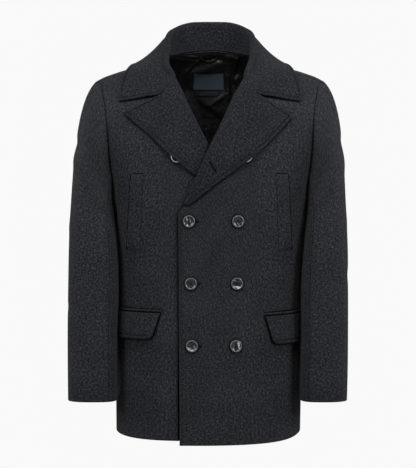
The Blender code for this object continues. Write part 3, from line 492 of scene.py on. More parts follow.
def added(name, data):
    """An object of this mesh, light or camera, in the scene."""
    made = bpy.data.objects.new(name, data)
    bpy.context.scene.collection.objects.link(made)
    return made


class Amount:
    """A socket of a finish. Arithmetic on it adds the Math nodes that work it out."""

    def __init__(self, finish, socket):
        self.finish, self.socket = finish, socket

    def math(self, operation, *others):
        return self.finish.node("Math", {"operation": operation}, dict(enumerate((self, *others))))

    def __add__(self, other):
        return self.math("ADD", other)

    def __sub__(self, other):
        return self.math("SUBTRACT", other)

    def __mul__(self, other):
        return self.math("MULTIPLY", other)

    def __truediv__(self, other):
        return self.math("DIVIDE", other)

    def __rsub__(self, other):
        return self.finish.node("Math", {"operation": "SUBTRACT"}, {0: other, 1: self})

    __radd__, __rmul__ = __add__, __mul__

    def saw(self, period):
        """A ridge that repeats: 0.5 high at the start of each period, and 0 at its middle."""
        return ((self / period).math("FRACT") - 0.5).math("ABSOLUTE")


class Finish:
    """A material in the making: its main shader, and the one way to add any other node."""

    def __init__(self, name, shader="Principled BSDF", **fixed):
        self.material = bpy.data.materials.new(name) if isinstance(name, str) else name
        self.material.use_nodes = True
        self.nodes, self.links = self.material.node_tree.nodes, self.material.node_tree.links
        self.shader = self.nodes[shader]
        for socket, value in fixed.items():
            self.shader.inputs[socket.replace("_", " ")].default_value = value

    def feed(self, socket, value):
        if isinstance(value, Amount):
            self.links.new(value.socket, socket)
        else:
            socket.default_value = value

    def node(self, kind, settings=None, inputs=None, out=0):
        made = self.nodes.new("ShaderNode" + kind)
        for name, value in (settings or {}).items():
            if name == "stops":
                ramp = made.color_ramp
                while len(ramp.elements) < len(value):
                    ramp.elements.new(1.0)
                for element, (place, colour) in zip(ramp.elements, value):
                    element.position, element.color = place, (*colour, 1)
            else:
                setattr(made, name, value)
        for name, value in (inputs or {}).items():
            self.feed(made.inputs[name], value)
        return Amount(self, made.outputs[out])

    def cut(self, layer="cut"):
        """Places on the flat cut, in metres."""
        return self.node("UVMap", {"uv_map": layer})

    def part(self, vector, axis):
        return self.node("SeparateXYZ", {}, {0: vector}, out=axis)

    def noise(self, flat, scale, detail=2.0, roughness=0.5, stretch=None):
        if stretch:
            flat = self.node("VectorMath", {"operation": "MULTIPLY"}, {0: flat, 1: stretch})
        inputs = {"Vector": flat, "Scale": scale, "Detail": detail, "Roughness": roughness}
        return self.node("TexNoise", {"noise_dimensions": "2D"}, inputs)

    def ramp(self, factor, *stops):
        """A colour read along a ramp. Each stop has its place, and a colour or a grey."""
        stops = [(at, c if isinstance(c, tuple) else (c, c, c)) for at, c in stops]
        return self.node("ValToRGB", {"stops": stops}, {"Fac": factor})

    def streaked(self, factor, colour, start, end, spread):
        """Darker than a colour at the start of a ramp, and as much paler at its end."""
        low, high = (tuple(share * c for c in colour) for share in (1 - spread, 1 + spread))
        return self.ramp(factor, (start, low), (end, high))

    def open_to(self, reach):
        """How open the surface is to its surroundings within a reach, from 0 to 1."""
        return self.node("AmbientOcclusion", {"samples": 8}, {"Distance": reach}, out=1)

    def blended(self, kind, factor, a, b):
        """Two colours, put together as the kind of blend says."""
        settings = {"data_type": "RGBA", "blend_type": kind}
        return self.node("Mix", settings, {0: factor, 6: a, 7: b}, out=2)

    def surface(self, colour, height=None, relief=0.0003, strength=1.0, roughness=None):
        self.feed(self.shader.inputs["Base Color"], colour)
        if roughness is not None:
            self.feed(self.shader.inputs["Roughness"], roughness)
        if height is not None:
            inputs = {"Strength": strength, "Distance": relief, "Height": height}
            self.feed(self.shader.inputs["Normal"], self.node("Bump", {}, inputs))
        return self.material


HERRINGBONE, RIB = 7.0, 1.35  # widths in millimetres
# Painted shade: the wool's colour goes dark in crevices and under edges, and the satin's goes dark
# deep in the coat, by how closed in the surface is.
CREVICE_SHADE_REACH, DEEP_SHADE_REACH = 0.0075, 0.30  # how far round it a crevice of the wool and the deep satin are dark
MELANGE = [(0.05, 0.0052), (0.40, 0.0150), (0.60, 0.0255), (0.80, 0.0480), (0.95, 0.0900)]


def wool(name, tone=1.0, cool=1.0):
    """Brushed melange wool: a fine herringbone of dark yarns flecked with pale and bluish ones,
    with painted shade in its crevices.
    """
    finish = Finish(
        name, Roughness=0.95, Specular_IOR_Level=0.06, Sheen_Weight=0.05, Sheen_Roughness=0.5
    )
    flat = finish.cut()
    across, up = finish.part(flat, 0) * 1000, finish.part(flat, 1) * 1000
    zigzag = across.saw(2 * HERRINGBONE) * (2 * HERRINGBONE)
    rib, turn = (up + zigzag).saw(RIB) * 2, across.saw(HERRINGBONE) * 2
    flecks = finish.noise(flat, 235, 4.0, 0.82)
    fibres = finish.noise(flat, 1250, 2.0, 0.6, (1.0, 0.55, 1.0))
    hair = finish.noise(flat, 3600, 2.0, 0.6, (1.0, 0.5, 1.0))
    cloud = finish.noise(flat, 16, 2.0, 0.5)
    amount = 0.50 + (flecks - 0.5) * 1.95 + (fibres - 0.5) * 0.6
    amount = amount + (rib - 0.5) * 0.10 + (hair - 0.5) * 0.3
    amount = amount + (cloud - 0.5) * 0.16 - turn.math("POWER", 6.0) * 0.05
    tones = (tone, tone * 1.05, tone * 1.18 * cool)
    grey = finish.ramp(amount, *((at, tuple(shade * t for t in tones)) for at, shade in MELANGE))
    tint = finish.ramp(
        finish.noise(flat, 210, 1.0, 0.5, (1.0, 0.9, 1.0)),
        (0.36, (1.10, 1.0, 0.88)), (0.5, 1.0), (0.66, (0.90, 1.0, 1.16)),
    )
    colour = finish.blended("MULTIPLY", 0.6, grey, tint)
    # Painted shade: the colour is darkened to near black where the surface is closed in, in
    # crevices and under lapels, flaps and sleeves.
    painted_crevice_shade = finish.ramp(finish.open_to(CREVICE_SHADE_REACH), (0.50, 0.01), (0.76, 0.40), (0.94, 1.0))
    colour = finish.blended("MULTIPLY", 1.0, colour, painted_crevice_shade)
    relief = rib * 0.5 + fibres * 1.0 + hair * 0.6 + flecks * 0.8
    return finish.surface(colour, relief, 0.0004, 0.55)


def satin(name):
    """Black acetate satin: close, crinkled and shiny, with painted shade that makes it black and
    dull where it hangs deep in the coat.
    """
    finish = Finish(name, Specular_IOR_Level=1.0)
    flat = finish.cut()
    line = finish.noise(flat, 900, 1.0, 0.5, (1.0, 0.12, 1.0))
    cloud = finish.noise(flat, 30, 2.0, 0.5)
    crumple = finish.noise(flat, 66, 4.0, 0.60, (0.8, 1.0, 1.0))
    # Painted shade: deep in the coat the colour is darkened, and Metallic is raised on the dark
    # colour, so that the satin loses its shine there.
    free_of_painted_shade = finish.ramp(finish.open_to(DEEP_SHADE_REACH), (0.40, 0.0), (0.55, 1.0))
    colour = finish.ramp(line, (0.3, (0.0080, 0.0079, 0.0086)), (0.7, (0.0150, 0.0148, 0.0158)))
    colour = finish.blended("MULTIPLY", 1.0, colour, free_of_painted_shade * 0.85 + 0.15)
    finish.feed(finish.shader.inputs["Metallic"], (1 - free_of_painted_shade) * 0.95)
    roughness = 0.26 + cloud * 0.12 + (1 - free_of_painted_shade) * 0.4
    return finish.surface(colour, crumple + line * 0.03, 0.0026, 0.8, roughness)


def thread_finish(name, colour):
    """Spun polyester thread, twisted, with a low shine."""
    finish = Finish(name, Specular_IOR_Level=0.35)
    inputs = {"Vector": finish.node("TexCoord", out=3), "Scale": 1800.0, "Detail": 1.0}
    twist = finish.node("TexNoise", {}, inputs)
    shade = finish.streaked(twist, colour, 0.3, 0.7, 0.4)
    return finish.surface(shade, twist, 0.0001, 0.4, 0.6 + twist * 0.2)


WOOL = wool("charcoal_wool", 1.33)
SATIN = satin("black_satin")
THREAD = thread_finish("charcoal_thread", (0.016, 0.0165, 0.0185))
STITCH_PITCH, STITCH_LENGTH, STITCH_RADIUS = 0.0046, 0.0036, 0.00034
THREAD_RINGS = table(
    "place size arch", (-0.72, 0.8, 0.0), (-0.2, 1.0, 0.25), (0.2, 1.0, 0.25), (0.72, 0.8, 0.0)
)
THREAD_TIP = 0.8  # how far a thread's ends turn down into the cloth, as a share of its radius


def capsules(name, middles, halves, outs, radius, finish, sides=6):
    """Many short threads in one piece, each along its half length and arched the way it faces."""
    verts, faces, spans = [], [], len(THREAD_RINGS) - 1
    beside = unit(np.cross(halves, outs)) * radius
    outs = unit(outs) * radius
    for middle, half, side, out in zip(middles, halves, beside, outs):
        base = len(verts)
        verts += [middle - half - out * THREAD_TIP, middle + half - out * THREAD_TIP]
        for ring in THREAD_RINGS:
            for k in range(sides):
                turn = 2 * math.pi * k / sides
                round_it = side * math.cos(turn) + out * (math.sin(turn) + ring.arch)
                verts.append(middle + half * ring.place + round_it * ring.size)
        for k in range(sides):
            k2 = (k + 1) % sides
            faces.append((base, base + 2 + k2, base + 2 + k))
            for ring in range(spans):
                at = base + 2 + ring * sides
                faces.append((at + k, at + k2, at + sides + k2, at + sides + k))
            last = base + 2 + spans * sides
            faces.append((base + 1, last + k, last + k2))
    return shaped(name, verts, faces, [finish])


def stitched(
    name, path, outs, finish=THREAD, pitch=STITCH_PITCH, length=STITCH_LENGTH, radius=STITCH_RADIUS
):
    """A row of topstitches along a line on the cloth."""
    run = distances(path[None], 1)[0]
    middles = np.arange(pitch * 0.6, run[-1] - pitch * 0.4, pitch)

    def read(values, at):
        return np.stack([np.interp(at, run, values[:, k]) for k in range(3)], axis=-1)

    ahead, behind = read(path, middles + length / 2), read(path, middles - length / 2)
    middle, half = (ahead + behind) / 2, (ahead - behind) / 2
    return capsules(name, middle, half, read(outs, middles), radius, finish)


def line_at(outer, inner, apart):
    """Points and outward ways of the stitching line across rows that lie this far from an edge."""
    path, outs = [], []
    for row, far, out in zip(outer, apart, unit(outer - inner)):
        i = int(np.argmax(far >= STITCH_INSET))
        if far.max() >= STITCH_INSET and i > 0:
            t = (STITCH_INSET - far[i - 1]) / (far[i] - far[i - 1])
            path.append(mix(row[i - 1], row[i], t))
            outs.append(mix(out[i - 1], out[i], t))
    return np.array(path), np.array(outs)


def dressed(made, node, slot, cut=None, **held):
    """A piece in the place of its CAD node, which is hidden. The cut is not used."""
    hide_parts(node)
    return made


def front(side):
    outer, inner = front_grid(side)
    apart = distances(outer, 1)
    lined = (apart > FACING_WIDTH)[:-1, :-1] & (distances(outer, 0) > HEM_TURN)[:-1, :-1]
    outer = grooved(outer, inner, topstitched(apart) + EDGE_BULK * bell(apart, 0, EDGE_SPREAD))
    line = line_at(outer[2:], inner[2:], apart[2:])
    outer, inner, *line = on_side(side, outer, inner, *line)
    made = cloth(f"front_{side}_cloth", outer, inner, WOOL, SATIN, lined)
    held = dict(held="hung", rests_on=[f"back_{side}"])
    held["with_pieces"] = [stitched(f"front_{side}_topstitch", *line)]
    dressed(made, f"front_{side}", "wool", FRONT_CUT[side], **held)


for side in SIDES:
    front(side)

# ---------------------------------------------------------------- backs
# Two plain panels of the same wool, joined by a pressed-open seam down the centre back. They run
# over the shoulders to a seam that lies a little in front of the crest.
BACK_PLACES = [*stepped([180, 353, 360], PLACE_STEP)]
BACK_ROWS = [180, *BACK_PLACES[3:]]
CREST_ROWS = table("place portion", (5, 0.3), (9, 0.62), (SEAM_PLACE, 1.0))
BACK_NECK_HEIGHT = 0.779
BACK_NECK_X = [0, 0.0026, 0.0075, 0.013, 0.018, 0.024, 0.030, 0.036]
BACK_NECK_X += [0.042, 0.048, 0.053, 0.058, 0.063, 0.068, 0.0735, 0.079]
CENTRE_CALM, CREST_CALM = 0.03, 0.05
BACK_CREASES = table(
    CREASE,
    (0.050, 0.700, 0.150, 0.600, 0.024, -0.0016), (0.075, 0.660, 0.165, 0.540, 0.022, 0.0014),
    (0.165, 0.455, 0.060, 0.410, 0.014, -0.0016), (0.160, 0.425, 0.050, 0.375, 0.015, 0.0012),
    (0.165, 0.340, 0.055, 0.352, 0.013, -0.0015), (0.150, 0.310, 0.050, 0.318, 0.014, 0.0010),
    (0.085, 0.270, 0.098, 0.015, 0.024, -0.0026), (0.045, 0.250, 0.048, 0.015, 0.020, 0.0018),
    (0.140, 0.240, 0.150, 0.015, 0.020, 0.0018),
)
BACK_CUT = Cut(0.282, 0.800, 0.1875)


def back_neck_height(x):
    """The back's neck edge, from the centre back down to the crest at the side of the neck."""
    return mix(BACK_NECK_HEIGHT, float(crest_height(NECK_X)), (x / NECK_X) ** 2)


def back_grid(side="right", with_creases=True):
    """Outer and inner points of the left back, the row at its crest, and its neck's columns."""
    boundary, shares = outer_boundary(BACK_ROWS, side)
    crest_x = mix(NECK_X, TIP_X, SHOULDER_SHARES)
    top_x, neck = np.array([*BACK_NECK_X, *crest_x]), len(BACK_NECK_X)
    top_height = np.array([*back_neck_height(np.array(BACK_NECK_X)), *crest_height(crest_x)])
    weight = angle_at(top_x, top_height) / boundary[-1]
    height = HEM_HEIGHT + shares[:, None] * (top_height - HEM_HEIGHT)
    x = x_at(fanned(boundary, shares, weight, 0), height)
    x[:, 0] = SEAM_GAP / 2
    outer = body("back", x, height)
    over = []
    for crest in CREST_ROWS:
        arm_height, arm_x = armhole(crest.place)
        row_x = mix(NECK_X, arm_x, SHOULDER_SHARES)
        arm_drop = float(crest_height(arm_x)) - arm_height
        drop = mix(SEAM_FORWARD * crest.portion, arm_drop, SHOULDER_SHARES)
        drop = drop - SEAM_GAP * (crest.portion == 1)
        row = body("front", row_x, crest_height(row_x) - drop)
        over.append(np.concatenate([np.repeat(outer[-1:, 0], neck, axis=0), row]))
    outer = np.concatenate([outer, np.array(over)])
    away = facing(outer)[0]
    if with_creases:
        calm = fade(angle_at(x, height), *SEAM_CALM) * ease(x / CENTRE_CALM)
        calm = calm * ease((crest_height(x) - height) / CREST_CALM)
        moved = creased(BACK_CREASES, x, height) * calm
        outer[: len(moved)] += away[: len(moved)] * moved[..., None]
    outer = lapped(outer)
    return outer, outer - away * CLOTH, len(height) - 1, neck


for side in SIDES:
    outer, inner, crest_row, neck = back_grid(side)
    lined = (distances(outer, 0) > HEM_TURN)[:-1, :-1]
    skip = {(crest_row + k, c) for k in range(len(CREST_ROWS)) for c in range(neck)}
    outer, inner = on_side(side, outer, inner)
    made = cloth(f"back_{side}_cloth", outer, inner, WOOL, SATIN, lined, skip, grain=(0.6, 0))
    dressed(made, f"back_{side}", "wool", BACK_CUT, held="hung", rests_on=["collar"])

# ---------------------------------------------------------------- sleeves
# Each sleeve is an upper and a narrower under piece of the wool, seamed down the forearm and the
# hind arm, eased into the armhole and hanging a little forward. The cuff is turned in and lined.
SLEEVE = table(
    "height y half_depth left_x left_half_width right_x right_half_width",
    (0.0788, -0.074, 0.0490, 0.2244, 0.0454, 0.2258, 0.0477),
    (0.1300, -0.071, 0.0520, 0.2251, 0.0461, 0.2266, 0.0481),
    (0.2000, -0.065, 0.0560, 0.2264, 0.0458, 0.2272, 0.0486),
    (0.3000, -0.054, 0.0610, 0.2267, 0.0458, 0.2264, 0.0497),
    (0.3800, -0.040, 0.0660, 0.2294, 0.0432, 0.2281, 0.0481),
    (0.4150, -0.029, 0.0680, 0.2309, 0.0411, 0.2298, 0.0462),
    (0.4400, -0.019, 0.0700, 0.2321, 0.0395, 0.2313, 0.0445),
)
SLEEVE_CUT = {"upper": Cut(0.275, 0.650, 0.1435), "under": Cut(0.177, 0.456, 0.0450)}
SLEEVE_GRAIN = {"upper": (1.1, 0.03), "under": (1.6, 0.01)}
INNER_SQUARENESS, SLEEVE_CLEAR, FOLD_ROOM = 3.0, 0.0012, 0.0016
CUFF_TURN, SLEEVE_ROLL, SLEEVE_STEP = 0.035, 0.001, 0.0056
FOREARM_SEAM, HINDARM_SEAM, ARM_RADIUS = 130, 235, 0.058
# How the cap of the sleeve curves out of the armhole, and into the arm below it.
CAP_OUT, CAP_SIDES, CAP_FORWARD, CAP_DOWN = 0.44, 0.20, 0.14, (0.42, 0.58)
CAP_ARRIVE, CAP_STEPS, CAP_STEP = (0.03, -0.30, -1.1), (0.012, 0.04, 1), 0.024
UNDERARM_CLEAR, CAP_CALM, BACK_CALM, FORE_CALM = (0.55, 0.2), (0.03, 0.05), (-120, 20), (128, -20)
SLEEVE_CREASES = {  # x is the distance round the sleeve, forwards from its outer side
    "left": table(
        CREASE,
        (-0.020, 0.610, 0.100, 0.495, 0.011, -0.0032), (-0.030, 0.580, 0.085, 0.470, 0.012, 0.0020),
        (0.010, 0.660, 0.105, 0.560, 0.012, -0.0015), (0.020, 0.480, 0.110, 0.400, 0.013, -0.0018),
        (0.010, 0.440, 0.100, 0.365, 0.013, 0.0013), (-0.020, 0.330, 0.090, 0.300, 0.012, -0.0013),
        (-0.110, 0.560, -0.020, 0.470, 0.014, -0.0022),
        (-0.110, 0.450, -0.010, 0.400, 0.013, -0.0020),
        (-0.110, 0.410, -0.020, 0.370, 0.013, 0.0016), (0.030, 0.250, 0.050, 0.090, 0.020, -0.0010),
    ),
    "right": table(
        CREASE,
        (-0.030, 0.598, 0.060, 0.560, 0.011, -0.0026), (-0.030, 0.565, 0.080, 0.520, 0.013, 0.0016),
        (0.015, 0.660, 0.100, 0.560, 0.012, -0.0014), (0.020, 0.480, 0.110, 0.420, 0.013, -0.0016),
        (-0.010, 0.430, 0.105, 0.375, 0.014, 0.0012), (-0.010, 0.262, 0.100, 0.255, 0.008, -0.0012),
        (-0.110, 0.560, -0.020, 0.480, 0.014, -0.0022),
        (-0.110, 0.440, -0.010, 0.400, 0.013, -0.0020),
        (-0.110, 0.400, -0.020, 0.365, 0.013, 0.0016), (0.040, 0.240, 0.030, 0.090, 0.020, -0.0010),
    ),
}


def square_to(v, line):
    """Direction of the part of v that is square to a line."""
    line = unit(line)
    return unit(v - line * (v * line).sum(axis=-1, keepdims=True))


def grid_facing(grid, closed=False):
    """Direction square to a grid of points, at each of them."""
    around = np.roll(grid, -1, axis=1) - np.roll(grid, 1, axis=1)
    beside = around if closed else np.gradient(grid, axis=1)
    return unit(np.cross(beside, np.gradient(grid, axis=0)))


def clear_of_torso(p, clearance):
    """The same points, with any that lie nearer to the body's form than this moved out from it."""
    for _ in range(6):
        away, steepness = facing(p)
        short = np.maximum(0, clearance - outside(p) / steepness)
        p = p + away * short[..., None]
    return p


def sleeve_ring(side, height, places):
    """A level ring of a sleeve, kept just clear of the coat's side."""
    square = np.where((places > 90) & (places < 180), INNER_SQUARENESS, SQUARENESS)
    sine, cosine, reach = superellipse(places, square)
    columns = (f"{side}_x", "y", f"{side}_half_width", "half_depth")
    x, y, half_width, half_depth = (along(SLEEVE, column, height) for column in columns)
    ring = points(x + half_width * reach * cosine, y - half_depth * reach * sine, height)
    clear = clear_of_torso(ring, SLEEVE_CLEAR)
    clear[:, 2] = height
    return clear


def sleeve_grid(side):
    """Outer and inner points of a sleeve, from the armhole down to the cuff, and its places."""
    places = np.array([0, 5, 9, *FRONT_PLACES, *BACK_PLACES[1:-1]], float)
    seam = [body("front" if p < 180 else "back", *armhole(p, side)[::-1]) for p in places]
    seam = np.array(seam)
    torso_way = facing(seam)[0]
    beyond = unit(np.cross(torso_way, np.roll(seam, -1, axis=0) - np.roll(seam, 1, axis=0)))
    sine, cosine, _ = superellipse(places)
    low = ((1 - cosine) / 2)[:, None]
    start = seam + beyond * SEAM_GAP
    hang = start + torso_way * FOLD_ROOM * low**2
    top_height, cuff_height = SLEEVE[-1].height, SLEEVE[0].height
    top = sleeve_ring(side, top_height, places)
    far = np.linalg.norm(top - hang, axis=1, keepdims=True)
    high = 1 - low[:, 0]
    out, down = CAP_OUT * high + CAP_SIDES * sine**2, -CAP_DOWN[0] - CAP_DOWN[1] * low[:, 0]
    leave = points(out, -CAP_FORWARD * sine, down) * far
    arrive = points(CAP_ARRIVE[0] * high, *CAP_ARRIVE[1:]) * far
    rows = [start, start + beyond * FOLD_ROOM / 2 + torso_way * FOLD_ROOM / 2 * low**2]
    for t in stepped(CAP_STEPS, CAP_STEP):
        row = curve(hang, leave, top, arrive, t)
        clear = clear_of_torso(row, mix(FOLD_ROOM, SLEEVE_CLEAR, t))
        rows.append(mix(row, clear, fade(low, *UNDERARM_CLEAR)))
    for height in stepped([top_height, cuff_height + 0.003, cuff_height], SLEEVE_STEP)[1:]:
        rows.append(sleeve_ring(side, height, places))
    outer = np.array(rows)
    hanging = grid_facing(outer[2:], closed=True)
    turning = unit(hanging[0] + torso_way - beyond * 0.5)
    away = np.array([torso_way, turning, *hanging])
    wound = np.where(places > 180, places - 360, places)
    shown = fade(distances(outer, 0), *CAP_CALM) * fade(wound, *BACK_CALM) * fade(wound, *FORE_CALM)
    moved = creased(SLEEVE_CREASES[side], np.radians(wound) * ARM_RADIUS, outer[..., 2]) * shown
    outer = outer + away * moved[..., None]
    return outer, outer - away * CLOTH, places


def sleeve(side):
    outer, inner, places = sleeve_grid(side)
    fore, hind = (int(np.argmin(np.abs(places - p))) for p in (FOREARM_SEAM, HINDARM_SEAM))
    columns = {"upper": [*range(hind, len(places)), *range(fore + 1)]}
    columns["under"] = [*range(fore, hind + 1)]
    for name, own in columns.items():
        sheet, lining = outer[:, own].copy(), inner[:, own].copy()
        first = square_to(sheet[:, 1] - sheet[:, 0], np.gradient(sheet[:, 0], axis=0))
        last = square_to(sheet[:, -2] - sheet[:, -1], np.gradient(sheet[:, -1], axis=0))
        for grid in (sheet, lining):
            grid[:, 0] += first * SEAM_GAP / 2
            grid[:, -1] += last * SEAM_GAP / 2
        lined = (distances(sheet[::-1], 0)[::-1] > CUFF_TURN)[1:, :-1]
        sheet, lining = on_side(side, sheet, lining)
        piece, grain = f"sleeve_{name}_{side}", SLEEVE_GRAIN[name]
        made = cloth(f"{piece}_cloth", sheet, lining, WOOL, SATIN, lined, (), SLEEVE_ROLL, grain)
        held = dict(held="hung", rests_on=[f"front_{side}", f"back_{side}"])
        dressed(made, piece, "wool", SLEEVE_CUT[name], **held)


for side in SIDES:
    sleeve(side)

# ---------------------------------------------------------------- lapels
# Each front's facing, turned back over it along the roll line. The free edges are turned, pressed
# and topstitched, and the left lapel has a worked buttonhole near its foot.
FOLD = "roll_height edge_x edge_height radius"
LAPEL = {
    "left": table(
        FOLD,
        (0.4580, -0.0400, 0.4560, 0.0030), (0.4760, -0.0220, 0.4690, 0.0034),
        (0.5020, 0.0060, 0.4915, 0.0038), (0.5380, 0.0423, 0.5186, 0.0042),
        (0.5750, 0.0800, 0.5482, 0.0046), (0.6120, 0.1150, 0.5792, 0.0052),
        (0.6450, 0.1430, 0.6090, 0.0056), (0.6750, 0.1560, 0.6250, 0.0058),
        (GORGE_HEIGHT, 0.1580, 0.6310, 0.0058),
    ),
    "right": table(
        FOLD,
        (0.5020, 0.0080, 0.4980, 0.0038), (0.5380, 0.0423, 0.5250, 0.0042),
        (0.5750, 0.0790, 0.5570, 0.0046), (0.6120, 0.1170, 0.5930, 0.0052),
        (0.6450, 0.1480, 0.6200, 0.0056), (0.6750, 0.1625, 0.6325, 0.0058),
        (GORGE_HEIGHT, 0.1640, 0.6385, 0.0058),
    ),
}
LAPEL_CUT = {"left": Cut(0.137, 0.290, 0.0238), "right": Cut(0.139, 0.237, 0.0208)}
NOTCH = np.array([0.0925, 0.6705])
ACROSS = [0.20, 0.38, 0.60, 0.80, 1.00]
NOTCH_COLUMN = 1
FOLD_ANGLES = np.radians([0, 30, 60, 90, 120, 150, 180])
EDGE_LIFT, TIP_LIFT = 0.0042, {"left": 0.0, "right": 0.0008}
TIP_ACROSS, TIP_UP = (0.3, 0.7), (0.56, 0.07)
BUTTON_SWELL, BUTTON_SWELL_SPREAD = 0.0108, 0.034
CROWN = table(CREASE, (0.030, 0.560, 0.085, 0.665, 0.030, 0.0010))
CROWN_CALM, SEWN_EDGE, FOLD_STEP, CORNER_CLEAR = 0.03, [0, 0.0026], 0.0042, 0.004
FINE_STEPS, EDGE_SAMPLES = ((1, 0.1), (0, 0.05)), 700
# Painted shade: a darker copy of the wool for the lapels and collar, so that their faces, which
# catch more light from above, are no brighter than the fronts.
LAPEL_WOOL_PAINTED_DARKER = wool("charcoal_wool_on_the_bias", 1.03, 1.04)
BUTTONS = table(
    "name x height front turn",
    ("button_top_left", 0.0689, 0.550, "left", 20),
    ("button_top_right", -0.0630, 0.550, "right", 65),
    ("button_high_left", 0.0545, 0.426, "left", 38),
    ("button_high_right", -0.0386, 0.426, "left", 4),
    ("button_middle_left", 0.0531, 0.307, "left", 80),
    ("button_middle_right", -0.0343, 0.307, "left", 51),
    ("button_low_left", 0.0518, 0.188, "left", 2),
    ("button_low_right", -0.0318, 0.188, "left", 66),
)


def lapel_lift(side, x, height, across, radius):
    """How far the lapel's face stands off its front. It is high at the fold and over a button."""
    lift = mix(2 * radius - CLOTH, EDGE_LIFT, ease(across))
    for place in BUTTONS[:2]:
        if place.front == side:
            apart = (x - abs(place.x)) ** 2 + (height - place.height) ** 2
            near = np.exp(-((apart / BUTTON_SWELL_SPREAD**2) ** 2))
            lift = np.maximum(lift, EDGE_LIFT + (BUTTON_SWELL - EDGE_LIFT) * near)
    return lift + TIP_LIFT[side] * fade(across, *TIP_ACROSS) * fade(height, *TIP_UP)


def fold_row(side, row, flats):
    """Face and back points of one row: round the fold, then out over the front to each of flats."""
    height, step = row.roll_height, 0.003
    base, away = on_front(side, roll_x(height), height)
    above = on_front(side, roll_x(height - step), height - step)[0]
    open_way = unit(np.cross(base - above, away))
    open_way = open_way * -np.sign(open_way[0])
    centre = base + away * (row.radius - CLOTH) + open_way * SEAM_GAP
    ways = [open_way * math.sin(angle) - away * math.cos(angle) for angle in FOLD_ANGLES]
    face = [centre + way * row.radius for way in ways]
    rear = [centre + way * (row.radius - CLOTH) for way in ways]
    for (x, flat_height), across in flats:
        lift = lapel_lift(side, x, flat_height, across, row.radius)
        point, out = on_front(side, np.array(x), np.array(flat_height), lift)
        face.append(point)
        rear.append(point - out * CLOTH)
    return np.array([face, rear])


def gorge_flats(*tip):
    """The top row's flat places: down the gorge seam to the notch, then by a free edge to a tip."""
    tip, turn = np.array(tip), ACROSS[NOTCH_COLUMN]
    seam = [(mix(GORGE, NOTCH, a / turn), a) for a in ACROSS if a <= turn]
    return seam + [(mix(NOTCH, tip, (a - turn) / (1 - turn)), a) for a in ACROSS if a > turn]


def lapel_grid(side):
    """Face and back points of a lapel, a row for each fold up the roll line."""
    rows = []
    for row in LAPEL[side][:-1]:
        start = np.array([float(roll_x(row.roll_height)), row.roll_height])
        end = np.array([row.edge_x, row.edge_height])
        rows.append(fold_row(side, row, [(mix(start, end, across), across) for across in ACROSS]))
    top = LAPEL[side][-1]
    last = fold_row(side, top, gorge_flats(top.edge_x, top.edge_height))
    return np.swapaxes(np.array([*rows, last + [0, 0, -SEAM_GAP / 2]]), 0, 1)


def smoothed(grid, axis, at):
    """A grid read between its lines, on smooth curves through them. at counts in lines."""
    grid = np.moveaxis(grid, axis, 0)
    run = np.linalg.norm(np.diff(grid[..., :3], axis=0), axis=-1).mean(axis=1)
    run = np.concatenate([[0], np.cumsum(run)])
    slope = np.gradient(grid, run, axis=0)
    i = np.clip(at.astype(int), 0, len(run) - 2)
    t, span = (at - i)[:, None, None], (run[i + 1] - run[i])[:, None, None]
    made = curve(grid[i], slope[i] * span, grid[i + 1], slope[i + 1] * span, t)
    return np.moveaxis(made, 0, axis)


def respaced(grid, axis, first, last, step):
    """The same surface, its lines at these distances from each end and evenly spread between."""
    grid = np.moveaxis(grid, axis, 1)
    run = distances(grid[..., :3], 1)
    total = run[:, -1:]
    first, last = np.array(first), np.array(last)
    count = max(2, round(float((total.max() - first[-1] - last[-1]) / step)))
    share = np.linspace(0, 1, count + 1)[1:-1]
    short = np.minimum(1, 0.8 * total / (first[-1] + last[-1] + 1e-9))
    near, far = first * short, total - last[::-1] * short
    at = np.concatenate([near, mix(near[:, -1:], far[:, :1], share), far], axis=1)
    rows = zip(at, run, grid)
    made = [np.stack([np.interp(a, r, line) for line in row.T], axis=-1) for a, r, row in rows]
    return np.moveaxis(np.stack(made), 1, axis)


def finely(grids):
    """Both faces of a folded piece, on smooth curves, with close lines along its free edges."""
    both = np.concatenate([*grids], axis=-1)
    for axis, step in FINE_STEPS:
        both = smoothed(both, axis, stepped(list(range(both.shape[axis])), step))
    both = respaced(both, 1, SEWN_EDGE, EDGE_PLACES, FOLD_STEP)
    both = respaced(both, 0, EDGE_PLACES, EDGE_PLACES, FOLD_STEP)
    return both[..., :3], both[..., 3:]


def from_edge(grid, edge):
    """How far each point of a grid is from the line of a free edge."""
    run = distances(edge[None], 1)[0]
    at = np.linspace(0, run[-1], EDGE_SAMPLES)
    line = np.stack([np.interp(at, run, edge[:, k]) for k in range(3)], axis=-1)
    return np.array([np.linalg.norm(row[:, None] - line, axis=-1).min(axis=1) for row in grid])


def notch_run(row):
    """How far along an end row its notch is."""
    part = row[: len(FOLD_ANGLES) + NOTCH_COLUMN + 1]
    return float(np.linalg.norm(np.diff(part, axis=0), axis=1).sum())


def line_down(grids, rows, columns):
    """The stitching line down a grid's columns."""
    return line_at(*(np.swapaxes(grid[rows][:, columns], 0, 1) for grid in grids))


def topstitching(name, lines):
    return [
        stitched(f"{name}_topstitch_{i}", *line) for i, line in enumerate(lines)
    ]


